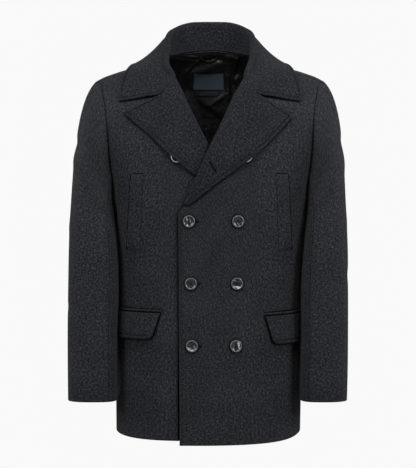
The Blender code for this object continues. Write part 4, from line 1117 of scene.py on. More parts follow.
def lapel(side):
    grids = lapel_grid(side)
    outer, inner = finely(grids)
    run, to_notch = distances(outer[-1:], 1)[0], notch_run(grids[0][-1])
    apart = from_edge(outer, np.concatenate([outer[:, -1], outer[-1, run >= to_notch][::-1]]))
    crown = creased(CROWN, outer[..., 0], outer[..., 2])
    outer = grooved(outer, inner, topstitched(apart) + crown * ease(apart / CROWN_CALM))
    grids = outer, inner, apart
    corner = min([i for i, row in enumerate(apart) if row.max() < STITCH_INSET] + [len(apart) - 1])
    lines = [line_at(*(grid[3:corner, ::-1] for grid in grids))]
    lines.append(line_down(grids, slice(None, None, -1), run > to_notch + CORNER_CLEAR))
    outer, inner = on_side(side, outer, inner)
    made = cloth(f"lapel_{side}_cloth", outer, inner, LAPEL_WOOL_PAINTED_DARKER, grain=(2.1, 0))
    held = dict(held="folded", rests_on=[f"front_{side}"])
    held["with_pieces"] = topstitching(f"lapel_{side}", [on_side(side, *line) for line in lines])
    dressed(made, f"lapel_{side}", "wool", LAPEL_CUT[side], **held)
    return outer, inner


LAPELS = {side: lapel(side) for side in SIDES}

# ---------------------------------------------------------------- collar
# One wide collar of two layers of the wool over canvas. Its stand rises from the neck seam, and
# its fall rolls over and lies round the shoulders, topstitched along its free edges.
STATION = "share fold_x fold_y fold_height swell_x swell_y swell_height edge_x edge_y edge_height"
COLLAR = table(
    STATION,
    (0.00, 0.0660, -0.086, 0.7080, 0.105, -0.085, 0.692, 0.1758, -0.058, 0.6600),
    (0.15, 0.0750, -0.066, 0.7300, 0.108, -0.066, 0.716, 0.1735, -0.046, 0.6830),
    (0.32, 0.0823, -0.036, 0.7587, 0.111, -0.036, 0.743, 0.1660, -0.022, 0.7150),
    (0.50, 0.0845, 0.010, 0.8030, 0.114, 0.012, 0.766, 0.1533, 0.012, 0.7430),
    (0.66, 0.0710, 0.045, 0.8212, 0.104, 0.054, 0.781, 0.1308, 0.056, 0.7390),
    (0.82, 0.0440, 0.065, 0.8338, 0.062, 0.084, 0.790, 0.0825, 0.088, 0.7405),
    (1.00, 0.0000, 0.072, 0.8366, 0.000, 0.097, 0.797, 0.0000, 0.104, 0.7480),
)
COLLAR_FOLD, COLLAR_CLEAR, COLLAR_CLOTH, STAND_MIDDLE = 0.0060, 0.0064, 0.0036, 0.55
COLLAR_CUT = Cut(0.624, 0.160, 0.0770)
NECK_SHARES, CREST_SHARES, NAPE_WAY = (0, 0.34, 0.67, 1), (0.4, 0), (0.0, -0.76, 0.65)


def neck_edge():
    """The neck edge of the left half: outer and inner points from the gorge to the centre back."""
    part = np.array([mix(GORGE, SEAM_TOP, s) for s in NECK_SHARES])
    outer = on_front("left", part[:, 0], part[:, 1])[0]
    drops = SEAM_FORWARD * np.array(CREST_SHARES)
    back_x = np.array([0.079, 0.068, 0.053, 0.036, 0.018, 0.0])
    over = body("front", np.full(2, NECK_X), crest_height(NECK_X) - drops)
    outer = np.concatenate([outer, over, body("back", back_x, back_neck_height(back_x))])
    inner = outer - facing(outer)[0] * CLOTH
    outer[-1, 0] = inner[-1, 0] = 0
    return outer, inner


def collar_grid():
    """Face and back points of the collar, a row for each station round the neck."""
    base_outer, base_inner = neck_edge()
    lengths = np.linalg.norm(np.diff(base_outer, axis=0), axis=1)
    shares = np.array([0, *np.cumsum(lengths)]) / lengths.sum()
    toward_neck = unit(np.cross(facing(base_outer)[0], np.gradient(base_outer, axis=0)))
    toward_neck *= -np.sign(toward_neck[:, :1] + 1e-9)
    toward_neck[-1] = unit(np.array(NAPE_WAY))
    tip = gorge_flats(COLLAR[0].edge_x, COLLAR[0].edge_height)
    first = fold_row("left", LAPEL["left"][-1], tip)
    faces, rears = ([row + [0, 0, SEAM_GAP / 2]] for row in first)
    for i in range(1, len(shares)):
        station = np.array([float(along(COLLAR, c, shares[i])) for c in STATION.split()[1:]])
        fold, swell, edge = station.reshape(3, 3)
        foot, foot_rear, shift = base_inner[i], base_outer[i], toward_neck[i] * SEAM_GAP
        rise = unit(fold - (foot + foot_rear) / 2)
        outward = swell - fold
        outward = unit(outward - rise * (outward @ rise))
        centre = fold - rise * COLLAR_FOLD
        turn = [
            centre + (rise * math.sin(b) - outward * math.cos(b)) * COLLAR_FOLD
            for b in np.radians([0, 45, 90, 135, 180])
        ]
        start = turn[-1]
        fall = [start * (1 - a) ** 2 + swell * 2 * a * (1 - a) + edge * a * a for a in ACROSS]
        stand = mix(foot + shift, turn[0], STAND_MIDDLE)
        faces.append(np.array([foot + shift, stand, *turn, *fall]))
        rears.append(foot_rear + shift)
    face, fall = np.array(faces), slice(len(FOLD_ANGLES), None)
    face[1:, fall] = clear_of_torso(face[1:, fall], COLLAR_CLEAR)
    whole = np.concatenate([face, mirrored(face[:-1][::-1])])
    rear = whole - grid_facing(whole) * COLLAR_CLOTH
    rear[0], rear[-1] = rears[0], mirrored(rears[0])
    for i, made in enumerate(rears[1:], 1):
        rear[i, 0], rear[-1 - i, 0] = made, mirrored(made)
    rear[len(face) - 1, :, 0] = 0
    return whole, rear


face, rear = collar_grid()
outer, inner = finely((face, rear))
run, to_notch, half = distances(outer[:1], 1)[0], notch_run(face[0]), len(outer) // 2
free = run >= to_notch
apart = from_edge(outer, np.concatenate([outer[0, free], outer[:, -1], outer[-1, free][::-1]]))
outer = grooved(outer, inner, topstitched(apart))
grids = outer, inner, apart
long_rows = [r for r in range(5, len(outer) - 5) if apart[r].max() > STITCH_INSET * 1.05]
lines = [line_at(*(grid[long_rows][:, ::-1] for grid in grids))]
for part in (slice(0, half), slice(len(outer) - 1, half, -1)):
    lines.append(line_down(grids, part, run > to_notch + CORNER_CLEAR))
made = cloth("collar_cloth", outer, inner, LAPEL_WOOL_PAINTED_DARKER, grain=(2.6, 0))
held = dict(held="folded", rests_on=["back_left", "back_right"])
dressed(made, "collar", "wool", COLLAR_CUT, **held, with_pieces=topstitching("collar", lines))

# ---------------------------------------------------------------- pockets
# Upright hand-warmer pockets with a welt sewn down at its front, and hip pockets with a piped jet
# and a rounded flap. Welts and flaps are the coat's wool, faced with satin.
# Near-black strips of pocketing are painted shadow: along each welt's slit, where the pocket really
# opens, and along the welt's top and the flap's and jet's top seams, where there is only a shaded
# crevice.
POCKET_GAP, WELT_CLOTH, FLAP_CLOTH, JET_CLOTH, POCKET_STEP = 0.0008, 0.0024, 0.0036, 0.0020, 0.004
WELT = table(
    "height inner_x slit_x",
    (0.370, 0.1340, 0.1585), (0.445, 0.1310, 0.1550), (0.517, 0.1265, 0.1500),
)
FOOT, HEAD = WELT[0], WELT[-1]
Flap = namedtuple("Flap", "front_x top rise depth")
FLAPS = {
    "left": Flap(0.1076, 0.2441, 0.0044, 0.0545), "right": Flap(0.0928, 0.2505, 0.0020, 0.0512),
}
FLAP_END_ANGLE, FLAP_SLANT, FLAP_LIFT, FLAP_WIDTH = 79.0, 0.0150, 0.0042, 0.085
FLAP_CORNER, CORNER_PULL, SEWN_DOWN, SEWN_ALONG = 0.0075, 0.30, 0.87, (0.075, 0.98)
WELT_TURN, WELT_PRESSED, WELT_THIN, EDGE_GAP = 0.0026, (0.008, -0.006), 0.25, 0.0001
JET_HEIGHT, JET_GAP, JET_SWELL, JET_FROM, JET_STEP = 0.0050, 0.0014, 0.0003, -0.015, 0.05
JET_ROWS = np.array([0, 0.22, 0.5, 0.78, 1.0])[:, None]
WELT_CUT = Cut(0.034, 0.150, 0.0046)
FLAP_CUT = {"left": Cut(0.137, 0.058, 0.0073), "right": Cut(0.153, 0.055, 0.0077)}
SHADOW_STRIP_ROWS = table("reach out", (-0.0016, 0.0003), (0.0004, 0.0003), (0.0014, 0.0004), (0.0022, 0.0007))
MOUTH_PAST, MOUTH_FOOT, MOUTH_HEAD, MOUTH_INNER, END_SHARE = 0.0004, 0.002, 0.001, 0.0020, 0.55
SEAM_DOWN = {"flap_mouth": -0.012, "jet_seam": -0.118}  # shares of the flap's depth, from its top
SEAM_ALONG, SEAM_STEP = (0.012, 1.0), 0.04


def laid_on(side, x, height, out, thick):
    """Outer and inner points of a piece that lies on a front, from their places on that front."""
    base, away = on_front(side, x, height)
    return [base + away * np.asarray(lift)[..., None] for lift in (out + thick, out)]


def pocket_piece(name, side, outer, inner):
    outer, inner = on_side(side, outer, inner)
    lined = np.ones(outer.shape[:2], bool)
    return cloth(f"{name}_cloth", outer, inner, WOOL, SATIN, lined, grain=(3.2, 0))


def welt(side):
    turns = FOOT.height + WELT_TURN, HEAD.height - WELT_TURN
    height = stepped([FOOT.height, *turns, HEAD.height], POCKET_STEP)[:, None]
    share = stepped([0, 0.10, 0.90, 1.0], 0.11)[None]
    x = mix(along(WELT, "inner_x", height), along(WELT, "slit_x", height), share)
    height = np.broadcast_to(height, x.shape)
    raised = ease(share / 0.5) * fade(height, FOOT.height, WELT_PRESSED[0])
    raised = raised * mix(0.75, 1, fade(height, HEAD.height, WELT_PRESSED[1]))
    out, thick = mix(EDGE_GAP, POCKET_GAP, raised), mix(WELT_CLOTH * WELT_THIN, WELT_CLOTH, raised)
    return pocket_piece(f"welt_{side}", side, *laid_on(side, x, height, out, thick))


def flap_places(side, share_along, share_down):
    """Places on the front, along the flap from its front corner and down from its top edge."""
    front_x, top, rise, depth = FLAPS[side]
    height = top + rise * share_along - depth * share_down
    angle = mix(angle_at(front_x + FLAP_SLANT * share_down, height), FLAP_END_ANGLE, share_along)
    return x_at(angle, height), height


def flap(side):
    along_it = stepped([0, 0.028, 0.048, 0.062, 0.072, 0.082, 0.10, 0.972, 1.0], 0.04)
    down = stepped([0, 0.05, 0.80, 0.86, 0.875, 0.888, 0.902, 0.925, 0.952, 1.0], 0.06)
    share_along, share_down = np.meshgrid(along_it, down)
    near = np.maximum(0, 1 - share_along * FLAP_WIDTH / FLAP_CORNER)
    near = near * np.maximum(0, 1 - (1 - share_down) * FLAPS[side].depth / FLAP_CORNER)
    places = flap_places(side, share_along, share_down)
    x, height = (place + FLAP_CORNER * CORNER_PULL * near for place in places)
    outer, inner = laid_on(side, x, height, POCKET_GAP + FLAP_LIFT * share_down, FLAP_CLOTH)
    apart = from_edge(outer, np.concatenate([outer[:, 0], outer[-1]]))
    outer = grooved(outer, inner, topstitched(apart))
    made = pocket_piece(f"flap_{side}", side, outer, inner)
    grids, rows = (outer, inner, apart), [r for r in range(2, len(outer)) if down[r] < SEWN_DOWN]
    lines = [line_at(*(grid[rows] for grid in grids))]
    sewn = (SEWN_ALONG[0] < along_it) & (along_it < SEWN_ALONG[1])
    lines.append(line_down(grids, slice(None, None, -1), sewn))
    return made, topstitching(f"flap_{side}", [on_side(side, *line) for line in lines])


def pocketing_in_painted_shade(name):
    """Close black cotton twill, matt, its colour darkened to near black as painted shade."""
    finish = Finish(name, Roughness=0.95, Specular_IOR_Level=0.05)
    twill = finish.noise(finish.cut(), 1400, 1.0, 0.5, (1.0, 0.3, 1.0))
    colour = finish.ramp(twill, (0.3, (0.0010, 0.0010, 0.0011)), (0.7, (0.0024, 0.0024, 0.0026)))
    return finish.surface(colour, twill, 0.0001, 0.3)


PAINTED_SHADE_POCKETING = pocketing_in_painted_shade("black_pocketing")


def shadow_strip(name, side, x, height, share=1.0):
    """A narrow strip of near-black pocketing on a front: painted shadow along a pocket's opening or
    along a seam beside it.
    """
    line = np.stack([x, height], axis=-1)
    beside = unit(np.gradient(line, axis=0))[:, ::-1] * [1, -1]
    rows = [(*(line + beside * strip.reach * share).T, strip.out) for strip in SHADOW_STRIP_ROWS]
    grid = np.array([on_front(side, *row)[0] for row in rows])
    faces = grid_faces(*grid.shape[:2])[0]
    (grid,) = on_side(side, grid)
    return shaped(name, grid.reshape(-1, 3), faces, [PAINTED_SHADE_POCKETING])


def jet(side):
    share_along = stepped([JET_FROM, 1], JET_STEP)
    x, height = flap_places(side, share_along, np.zeros_like(share_along))
    height = height + JET_GAP + JET_HEIGHT * JET_ROWS
    x, thick = np.broadcast_to(x, height.shape), JET_CLOTH + np.sin(np.pi * JET_ROWS) * JET_SWELL
    both = laid_on(side, x, height, np.full(x.shape, POCKET_GAP), thick)
    return dressed(pocket_piece(f"jet_{side}", side, *both), f"jet_{side}", "wool")


for side in SIDES:
    bound = welt(side)
    height = stepped([FOOT.height + MOUTH_FOOT, HEAD.height - MOUTH_HEAD], POCKET_STEP)
    across = stepped([HEAD.slit_x - MOUTH_PAST, HEAD.inner_x + MOUTH_INNER], POCKET_STEP)
    top = np.full_like(across, HEAD.height)
    slit = along(WELT, "slit_x", height) + MOUTH_PAST
    added_pieces = [shadow_strip(f"welt_mouth_{side}", side, slit, height)]
    added_pieces.append(shadow_strip(f"welt_end_{side}", side, across, top, END_SHARE))
    held = dict(held="laid", rests_on=[f"front_{side}"], with_pieces=added_pieces)
    dressed(bound, f"welt_{side}", "wool", WELT_CUT, **held)
    hanging, sewn = flap(side)
    share = stepped(SEAM_ALONG, SEAM_STEP)
    added_pieces = [jet(side)]
    for name, down in SEAM_DOWN.items():
        places = flap_places(side, share, np.full_like(share, down))
        added_pieces.append(shadow_strip(f"{name}_{side}", side, *places))
    held = dict(held="hung", rests_on=[f"front_{side}"], with_pieces=[*sewn, *added_pieces])
    dressed(hanging, f"flap_{side}", "wool", FLAP_CUT[side], **held)

# ---------------------------------------------------------------- lining, labels and hanger loop
# Black satin lines the back from neck to hem and hangs in soft wrinkles from the collar seam. Two
# bare woven labels are stitched to it, and a satin loop to hang the coat by is caught in the seam.
LINING_GAP, LINING_CLOTH, LINING_EDGE, RIPPLE, LEAST_RIPPLE = 0.0008, 0.0010, 0.85, 0.0016, 0.0008
LINING_CUT = Cut(0.532, 0.800, 0.3495)
LINING_CREASES = table(
    CREASE,
    (-0.080, 0.7705, -0.018, 0.769, 0.0026, 0.0024), (-0.080, 0.7625, -0.020, 0.761, 0.003, 0.0026),
    (-0.018, 0.769, -0.063, 0.730, 0.0030, 0.003), (-0.008, 0.767, -0.046, 0.740, 0.0032, -0.0022),
    (-0.050, 0.7310, 0.062, 0.7720, 0.0085, 0.0052), (-0.010, 0.770, 0.050, 0.760, 0.0045, -0.0020),
    (0.0625, 0.7790, 0.0500, 0.7340, 0.0040, 0.005), (0.070, 0.779, 0.060, 0.7250, 0.0060, -0.0030),
    (0.0640, 0.7330, 0.0500, 0.7180, 0.0065, 0.0045), (0.036, 0.748, 0.040, 0.6750, 0.0055, 0.0040),
    (0.0370, 0.695, -0.006, 0.6660, 0.0050, 0.0026), (-0.010, 0.676, 0.028, 0.6450, 0.0060, 0.0026),
    (-0.056, 0.716, -0.018, 0.6600, 0.0075, -0.002), (-0.044, 0.695, 0.006, 0.610, 0.0090, -0.0016),
    (0.0200, 0.6250, -0.020, 0.5600, 0.0120, -0.0014), (0.050, 0.700, 0.085, 0.610, 0.0110, 0.0038),
    (-0.085, 0.7300, -0.070, 0.6000, 0.0110, 0.0036), (0.115, 0.7200, 0.135, 0.500, 0.0140, 0.0040),
    (-0.125, 0.7100, -0.130, 0.5000, 0.0140, 0.0042), (0.045, 0.5800, 0.060, 0.120, 0.0130, 0.0034),
    (-0.050, 0.5600, -0.058, 0.1000, 0.0140, 0.0036), (0.005, 0.5400, 0.000, 0.080, 0.0110, 0.0030),
    (0.1050, 0.4600, 0.1120, 0.0700, 0.0150, 0.0036), (-0.108, 0.450, -0.106, 0.06, 0.0150, 0.0034),
)
FINE_HEIGHT, FINE_X, RIM_CALM = 0.56, 0.10, 0.12  # the wrinkles are finer in the neck
RIM_CALM_WIDTH, UNDER_LABEL, LABEL_CALM, LABEL_CALM_FROM = 0.012, 0.25, 0.006, 0.3
LABEL_X, LABEL_CLOTH, LABEL_GAP, LABEL_PUFF = -0.003, 0.0006, 0.0006, 0.0003
LABEL_INSET, LABEL_STEPS, LABEL_THREAD_OUT = 0.0016, (0.002, 0.0017), 0.0004
Label = namedtuple("Label", "width depth height")
LABELS = {"label": Label(0.064, 0.035, 0.7190), "label_tab": Label(0.040, 0.010, 0.6935)}
LABEL_STITCH = dict(pitch=0.0024, length=0.0017, radius=0.00022)
LOOP_HALF, LOOP_SAG, LOOP_WIDTH, LOOP_CLOTH, LOOP_HEIGHT = 0.020, 0.008, 0.004, 0.0012, 0.7725
LOOP_CALM, LOOP_CROWN, LOOP_HANG, LOOP_GAP = 0.4, 0.0006, 0.35, 0.0012
TACK_IN, TACK_FOOT, TACK_STEPS, TACK_OUT = 0.0012, 0.0035, (0, 0.0016, 0.0032), 0.0034
TACK_HALF, TACK_RADIUS = 0.0011, 0.0003


def ripple(x, height):
    """How far the wrinkled lining stands off its back panel. It is calm under the sewn labels."""
    main = LABELS["label"]
    beside = np.abs(x - LABEL_X) - main.width / 2
    beside = np.maximum(beside, np.abs(height - main.height) - main.depth / 2)
    moved = RIPPLE + creased(LINING_CREASES, x, height)
    shown = UNDER_LABEL + (1 - UNDER_LABEL) * ease(beside / LABEL_CALM + LABEL_CALM_FROM)
    moved = mix(RIPPLE, moved, shown)
    return (moved + np.sqrt(moved**2 + LEAST_RIPPLE**2)) / 2


def on_lining(x, height, out, calm=1.0):
    """Points this far off the lining's face, at these places on it, and the ways that it faces."""
    base = body("back", x, height)
    way = -facing(base)[0]
    near = CLOTH + LINING_GAP + LINING_CLOTH + ripple(x, height) * calm + out
    return base + way * np.asarray(near)[..., None], way


def lining():
    sheet, _, crest_row, _ = back_grid("right", with_creases=False)
    sheet = sheet[1 : crest_row + 1].copy()
    sheet[:, 0, 0] = 0
    sheet[:, -1] = mix(sheet[:, -2], sheet[:, -1], LINING_EDGE)
    sheet[-1] = mix(sheet[-2], sheet[-1], LINING_EDGE)
    fine_row = int(np.argmax(sheet[:, 0, 2] > FINE_HEIGHT))
    fine_column = int(np.argmax(sheet[-1, :, 0] > FINE_X))
    rows = np.array([*range(fine_row), *stepped([fine_row, len(sheet) - 1], 1 / 3)])
    columns = np.array([*stepped([0, fine_column], 0.5), *range(fine_column + 1, sheet.shape[1])])
    sheet = smoothed(smoothed(sheet, 0, rows), 1, columns)
    sheet = np.concatenate([mirrored(sheet[:, :0:-1]), sheet], axis=1)
    x, height = sheet[..., 0], sheet[..., 2]
    across, up = distances(sheet, 1), distances(sheet, 0)
    rim = np.minimum(np.minimum(across, across[:, -1:] - across), np.minimum(up, up[-1:] - up))
    calm = RIM_CALM + (1 - RIM_CALM) * ease(rim / RIM_CALM_WIDTH)
    outer, inner = (on_lining(x, height, out, calm)[0] for out in (-LINING_CLOTH, 0.0))
    return cloth("lining_back_satin", outer, inner, SATIN, roll=0.0004)


def label_weave(name, colour):
    """A close damask ribbon, with fine ribs across it."""
    finish = Finish(name, Roughness=0.55, Specular_IOR_Level=0.4)
    flat = finish.cut()
    rib = (finish.part(flat, 1) * 1000).saw(0.55) * 2
    slub = finish.noise(flat, 1100, 2.0, 0.5, (0.35, 1.0, 1.0))
    shade = finish.streaked(rib * 0.4 + slub * 0.6, colour, 0.25, 0.75, 0.22)
    return finish.surface(shade, rib + slub * 0.6, 0.0001, 0.5)


WEAVE = {
    "label": label_weave("navy_damask", (0.072, 0.092, 0.120)),
    "label_tab": label_weave("black_damask", (0.022, 0.026, 0.034)),
}
LABEL_THREAD = thread_finish("navy_thread", (0.020, 0.024, 0.032))


def label(name, size):
    x = (LABEL_X + stepped([-size.width / 2, size.width / 2], LABEL_STEPS[0]))[None, :]
    height = size.height + stepped([-size.depth / 2, size.depth / 2], LABEL_STEPS[1])[:, None]
    puff = LABEL_PUFF * np.sin(np.pi * (x - x.min()) / size.width)
    puff = puff * np.sin(np.pi * (height - height.min()) / size.depth)
    outs = (LABEL_GAP + LABEL_CLOTH + puff, LABEL_GAP + puff)
    face, back = (on_lining(x, height, out)[0] for out in outs)
    made = cloth(f"{name}_ribbon", face, back, WEAVE[name], roll=0.0003)
    reach = np.array([size.width / 2 - LABEL_INSET, size.depth / 2 - LABEL_INSET])
    corners = np.array([(-1, -1), (1, -1), (1, 1), (-1, 1), (-1, -1)]) * reach
    path = np.concatenate([np.linspace(a, b, 40)[:-1] for a, b in zip(corners, corners[1:])])
    out = LABEL_GAP + LABEL_CLOTH + LABEL_THREAD_OUT
    line = on_lining(*(path + [LABEL_X, size.height]).T, out)
    sewn = stitched(f"{name}_stitches", *line, LABEL_THREAD, **LABEL_STITCH)
    dressed(made, name, "woven_label")


def hanger_loop():
    x = np.linspace(-LOOP_HALF, LOOP_HALF, 41)
    sag = LOOP_SAG * (1 - (x / LOOP_HALF) ** 2)
    share = np.linspace(0, 1, 9)[:, None]
    height = LOOP_HEIGHT - sag - LOOP_WIDTH * (1 - share)
    crown = LOOP_CROWN * np.sin(np.pi * share)
    off = LABEL_GAP + LOOP_HANG * sag + LOOP_GAP
    outs = (off + LOOP_CLOTH * 0.6 + crown, off + 0 * crown)
    far, near = (on_lining(LABEL_X + x, height, out, LOOP_CALM)[0] for out in outs)
    made = cloth("hanger_loop_satin", far, near, SATIN, roll=0.0005)
    dressed(made, "hanger_loop", "satin")
    foot = LOOP_HEIGHT - TACK_FOOT
    ends = [LABEL_X + s * (LOOP_HALF - TACK_IN) for s in (-1, 1)]
    tacks = np.array([(end, foot + up) for end in ends for up in TACK_STEPS])
    seat, outs = on_lining(tacks[:, 0], tacks[:, 1], TACK_OUT, LOOP_CALM)
    halves = np.tile([TACK_HALF, 0, 0], (len(tacks), 1))
    tacked = capsules("hanger_loop_tacks", seat, halves, outs, TACK_RADIUS, LABEL_THREAD)
    return [made, tacked]


lined_back = lining()
for name, size in LABELS.items():
    label(name, size)
held = dict(held="hung", rests_on=["back_left", "back_right"], with_pieces=hanger_loop())
dressed(lined_back, "lining_back", "satin", LINING_CUT, **held)

# ---------------------------------------------------------------- buttons and buttonholes
# Four-hole buttons turned from marbled horn and polished, sewn on with crossed bars of thread. The
# row by the front edge goes through worked buttonholes. The other is sewn to the left front.
BUTTON_GAP, BUTTON_RADIUS, BUTTON_SIDES = 0.0006, 0.01175, 64
THREAD_HOLE, THREAD_HOLE_OUT, BAR_RADIUS = 0.00095, 0.0023, 0.00034
BUTTON_PROFILE = [  # radius and height, from the back, round the rim, to the flat of the dish
    (0.0075, 0.0000), (0.0092, 0.0003), (0.0107, 0.0009), (0.0114, 0.0014), (0.01175, 0.0021),
    (0.01165, 0.0027), (0.0113, 0.0032), (0.0108, 0.0035), (0.0102, 0.0036), (0.0096, 0.0035),
    (0.0091, 0.0032), (0.0087, 0.0028), (0.0082, 0.00255), (0.0074, 0.0023), (0.0064, 0.0021),
    (0.0052, 0.0020), (0.0043, 0.00195),
]
DRILL, DRILL_SIDES, SHARP = [(THREAD_HOLE, -0.001), (THREAD_HOLE, 0.006)], 16, math.radians(38)
HORN_SHIFT = (0.05, 0.031)  # each button shows its own place in the horn
BAR_LEVEL, BAR_OVER, BAR_PAST = 0.0022, 0.0002, 0.0003  # the middle bar lies over the others
HOLE_FROM, HOLE_TO, HOLE_DROP = -0.008, 0.0175, 0.0004
PURL_PITCH, PURL_OUT, PURL_HALF, PURL_RADIUS, PURL_LIFT = 0.00075, 0.0015, 0.0007, 0.00036, 0.0003
PURL_START, PURL_TURN = 0.0006, np.radians(np.linspace(-80, 80, 5))  # round the end of the slit
SLIT_SHADOW_ROWS = table("across out", (-0.0010, 0.00035), (0, 0.0001), (0.0010, 0.00035))
LAPEL_HOLE = (0.0126, 0.5190), (0.0004, 0.5385)


def horn(name):
    """Polished buffalo horn: near black, with paler streaks clouded through it, and a pale rim that
    is a painted highlight, brighter on the two top buttons.
    """
    finish = Finish(
        name, Roughness=0.16, Specular_IOR_Level=0.6, Coat_Roughness=0.06, Coat_Weight=0.5
    )
    flat, turned_at = finish.cut(), finish.cut("radius")
    radius, top_button_flag = finish.part(turned_at, 0), finish.part(turned_at, 1)
    streak = finish.noise(flat, 70, 3.0, 0.55, (2.6, 0.55, 1.0))
    cloud = finish.noise(flat, 120, 2.0, 0.5)
    colour = finish.ramp(
        streak * 0.75 + cloud * 0.25,
        (0.40, (0.0080, 0.0085, 0.0090)), (0.54, (0.0260, 0.0280, 0.0300)),
        (0.60, (0.0800, 0.0860, 0.0900)), (0.655, (0.6200, 0.6400, 0.6500)),
    )
    # Painted highlight: the rim is painted pale grey, and near white on the two top buttons, as if
    # it caught the light.
    rim = finish.ramp(radius / BUTTON_RADIUS, (0.76, 0.0), (0.84, 1.0), (0.95, 1.0), (1.0, 0.9))
    rim_highlight, top_rim_highlight = (0.1120, 0.1190, 0.1250, 1), (0.5200, 0.5450, 0.5550, 1)
    rim_highlight_colour = finish.blended("MIX", top_button_flag, rim_highlight, top_rim_highlight)
    colour = finish.blended("MIX", rim, colour, rim_highlight_colour)
    return finish.surface(colour, roughness=0.12 + cloud * 0.14)


HORN = horn("marbled_horn")
DARK_THREAD = thread_finish("black_thread", (0.0060, 0.0060, 0.0066))


def turned(name, profile, sides):
    """A turned body, closed flat at both ends, from the radius and height of each of its rings."""
    turns = np.linspace(0, 2 * math.pi, sides, endpoint=False)
    verts = [(r * math.cos(a), r * math.sin(a), height) for r, height in profile for a in turns]
    faces = []
    for at in range(0, (len(profile) - 1) * sides, sides):
        ends = [(at + k, at + (k + 1) % sides) for k in range(sides)]
        faces += [(a, b, b + sides, a + sides) for a, b in ends]
    faces.append(tuple(reversed(range(sides))))
    faces.append(tuple(range(len(verts) - sides, len(verts))))
    mesh = bpy.data.meshes.new(name)
    mesh.from_pydata(verts, [], faces)
    return added(name, mesh)


def button_mesh():
    """One button with four thread holes bored through the flat of its dish."""
    blank = turned("button_blank", BUTTON_PROFILE, BUTTON_SIDES)
    drills = []
    for quarter in range(4):
        a = math.radians(45 + 90 * quarter)
        drill = turned(f"drill_{quarter}", DRILL, DRILL_SIDES)
        drill.location = (THREAD_HOLE_OUT * math.cos(a), THREAD_HOLE_OUT * math.sin(a), 0)
        blank.modifiers.new(drill.name, "BOOLEAN").object = drill
        drills.append(drill)
    bpy.context.view_layer.update()
    drilled = blank.evaluated_get(bpy.context.evaluated_depsgraph_get())
    mesh = bpy.data.meshes.new_from_object(drilled)
    for done in (blank, *drills):
        bpy.data.objects.remove(done)
    return mesh


def unplaced(p):
    """Points of the row's frame, back in the frame that the pieces are worked out in."""
    height = p[..., 2] + ORIGIN_HEIGHT
    return points(p[..., 0] - LEAN * (height - ORIGIN_HEIGHT), p[..., 1], height)


def unleant(v):
    return points(v[..., 0] - LEAN * v[..., 2], v[..., 1], v[..., 2])


def button(place, blank, number):
    mirror = np.array([-1, 1, 1]) if place.front == "right" else np.ones(3)
    x, height = np.array(place.x * mirror[0]), np.array(place.height)
    at, away = on_front(place.front, x, height, BUTTON_GAP)
    seat, away = placed(at * mirror), away * mirror
    stand = Vector(away).to_track_quat("Z", "Y").to_matrix().to_4x4()
    put = Matrix.Translation(seat) @ stand @ Matrix.Rotation(math.radians(place.turn), 4, "Z")
    mesh = blank.copy()
    mesh.name = f"{place.name}_horn"
    layer, turned_at = mesh.uv_layers.new(name="cut"), mesh.uv_layers.new(name="radius")
    for loop in mesh.loops:
        spot = mesh.vertices[loop.vertex_index].co
        shift = [number * share for share in HORN_SHIFT]
        layer.data[loop.index].uv = (spot.x + shift[0], spot.y + shift[1])
        # V is 1 on the two top buttons, whose rims get the brighter painted highlight.
        turned_at.data[loop.index].uv = (math.hypot(spot.x, spot.y), float(place in BUTTONS[:2]))
    mesh.transform(put)
    mesh.materials.append(HORN)
    mesh.shade_smooth()
    mesh.set_sharp_from_angle(angle=SHARP)
    dressed(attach(added(mesh.name, mesh), "root"), place.name, "horn")
    bars, ways = [], []
    for a in (45, 135):
        way = np.array([math.cos(math.radians(a)), math.sin(math.radians(a)), 0])
        beside = np.array([-way[1], way[0], 0])
        for k in (-1, 0, 1):
            bars.append(beside * k * BAR_RADIUS + [0, 0, BAR_LEVEL + BAR_OVER * (k == 0)])
            ways.append(way * (THREAD_HOLE_OUT + BAR_PAST))
    seats, turn = np.array([put @ Vector(bar) for bar in bars]), np.array(put.to_3x3())
    halves, outs = np.array(ways) @ turn.T, np.tile(turn @ [0, 0, 1.0], (len(bars), 1))
    bars = (unplaced(seats), unleant(halves), unleant(outs))
    capsules(f"{place.name}_thread", *bars, BAR_RADIUS, DARK_THREAD)


blank_button = button_mesh()
for number, place in enumerate(BUTTONS):
    button(place, blank_button, number)
bpy.data.meshes.remove(blank_button)


def buttonhole(name, start, end, seat):
    """A slit bound with close purl stitches. seat gives points and outward ways along a line."""
    start, end = np.array(start), np.array(end)
    length = float(np.linalg.norm(end - start))
    way = (end - start) / length
    beside = np.array([-way[1], way[0]])
    middles, halves = [], []
    for t in np.arange(PURL_START, length, PURL_PITCH):
        for s in (-1, 1):
            middles.append(start + way * t + beside * s * PURL_OUT)
            halves.append(beside * PURL_HALF)
    for a in PURL_TURN:
        spin = way * math.cos(a) + beside * math.sin(a)
        middles.append(end + spin * PURL_OUT)
        halves.append(spin * PURL_HALF)
    middles, halves = np.array(middles), np.array(halves)
    at, outs = seat(*middles.T, PURL_LIFT)
    halves = seat(*(middles + halves).T, PURL_LIFT)[0] - at
    capsules(f"{name}_purl", at, halves, outs, PURL_RADIUS, DARK_THREAD, sides=5)
    # A near-black strip of pocketing under the slit is painted shadow in the cut.
    slit = np.array([start + way * length * t for t in np.linspace(0, 1, 12)])
    rows = np.array([seat(*(slit + beside * line.across).T, line.out)[0] for line in SLIT_SHADOW_ROWS])
    faces = grid_faces(*rows.shape[:2])[0]
    shaped(f"{name}_slit", rows.reshape(-1, 3), faces, [PAINTED_SHADE_POCKETING])


def on_left_front(x, height, out):
    return on_front("left", x, height, out)


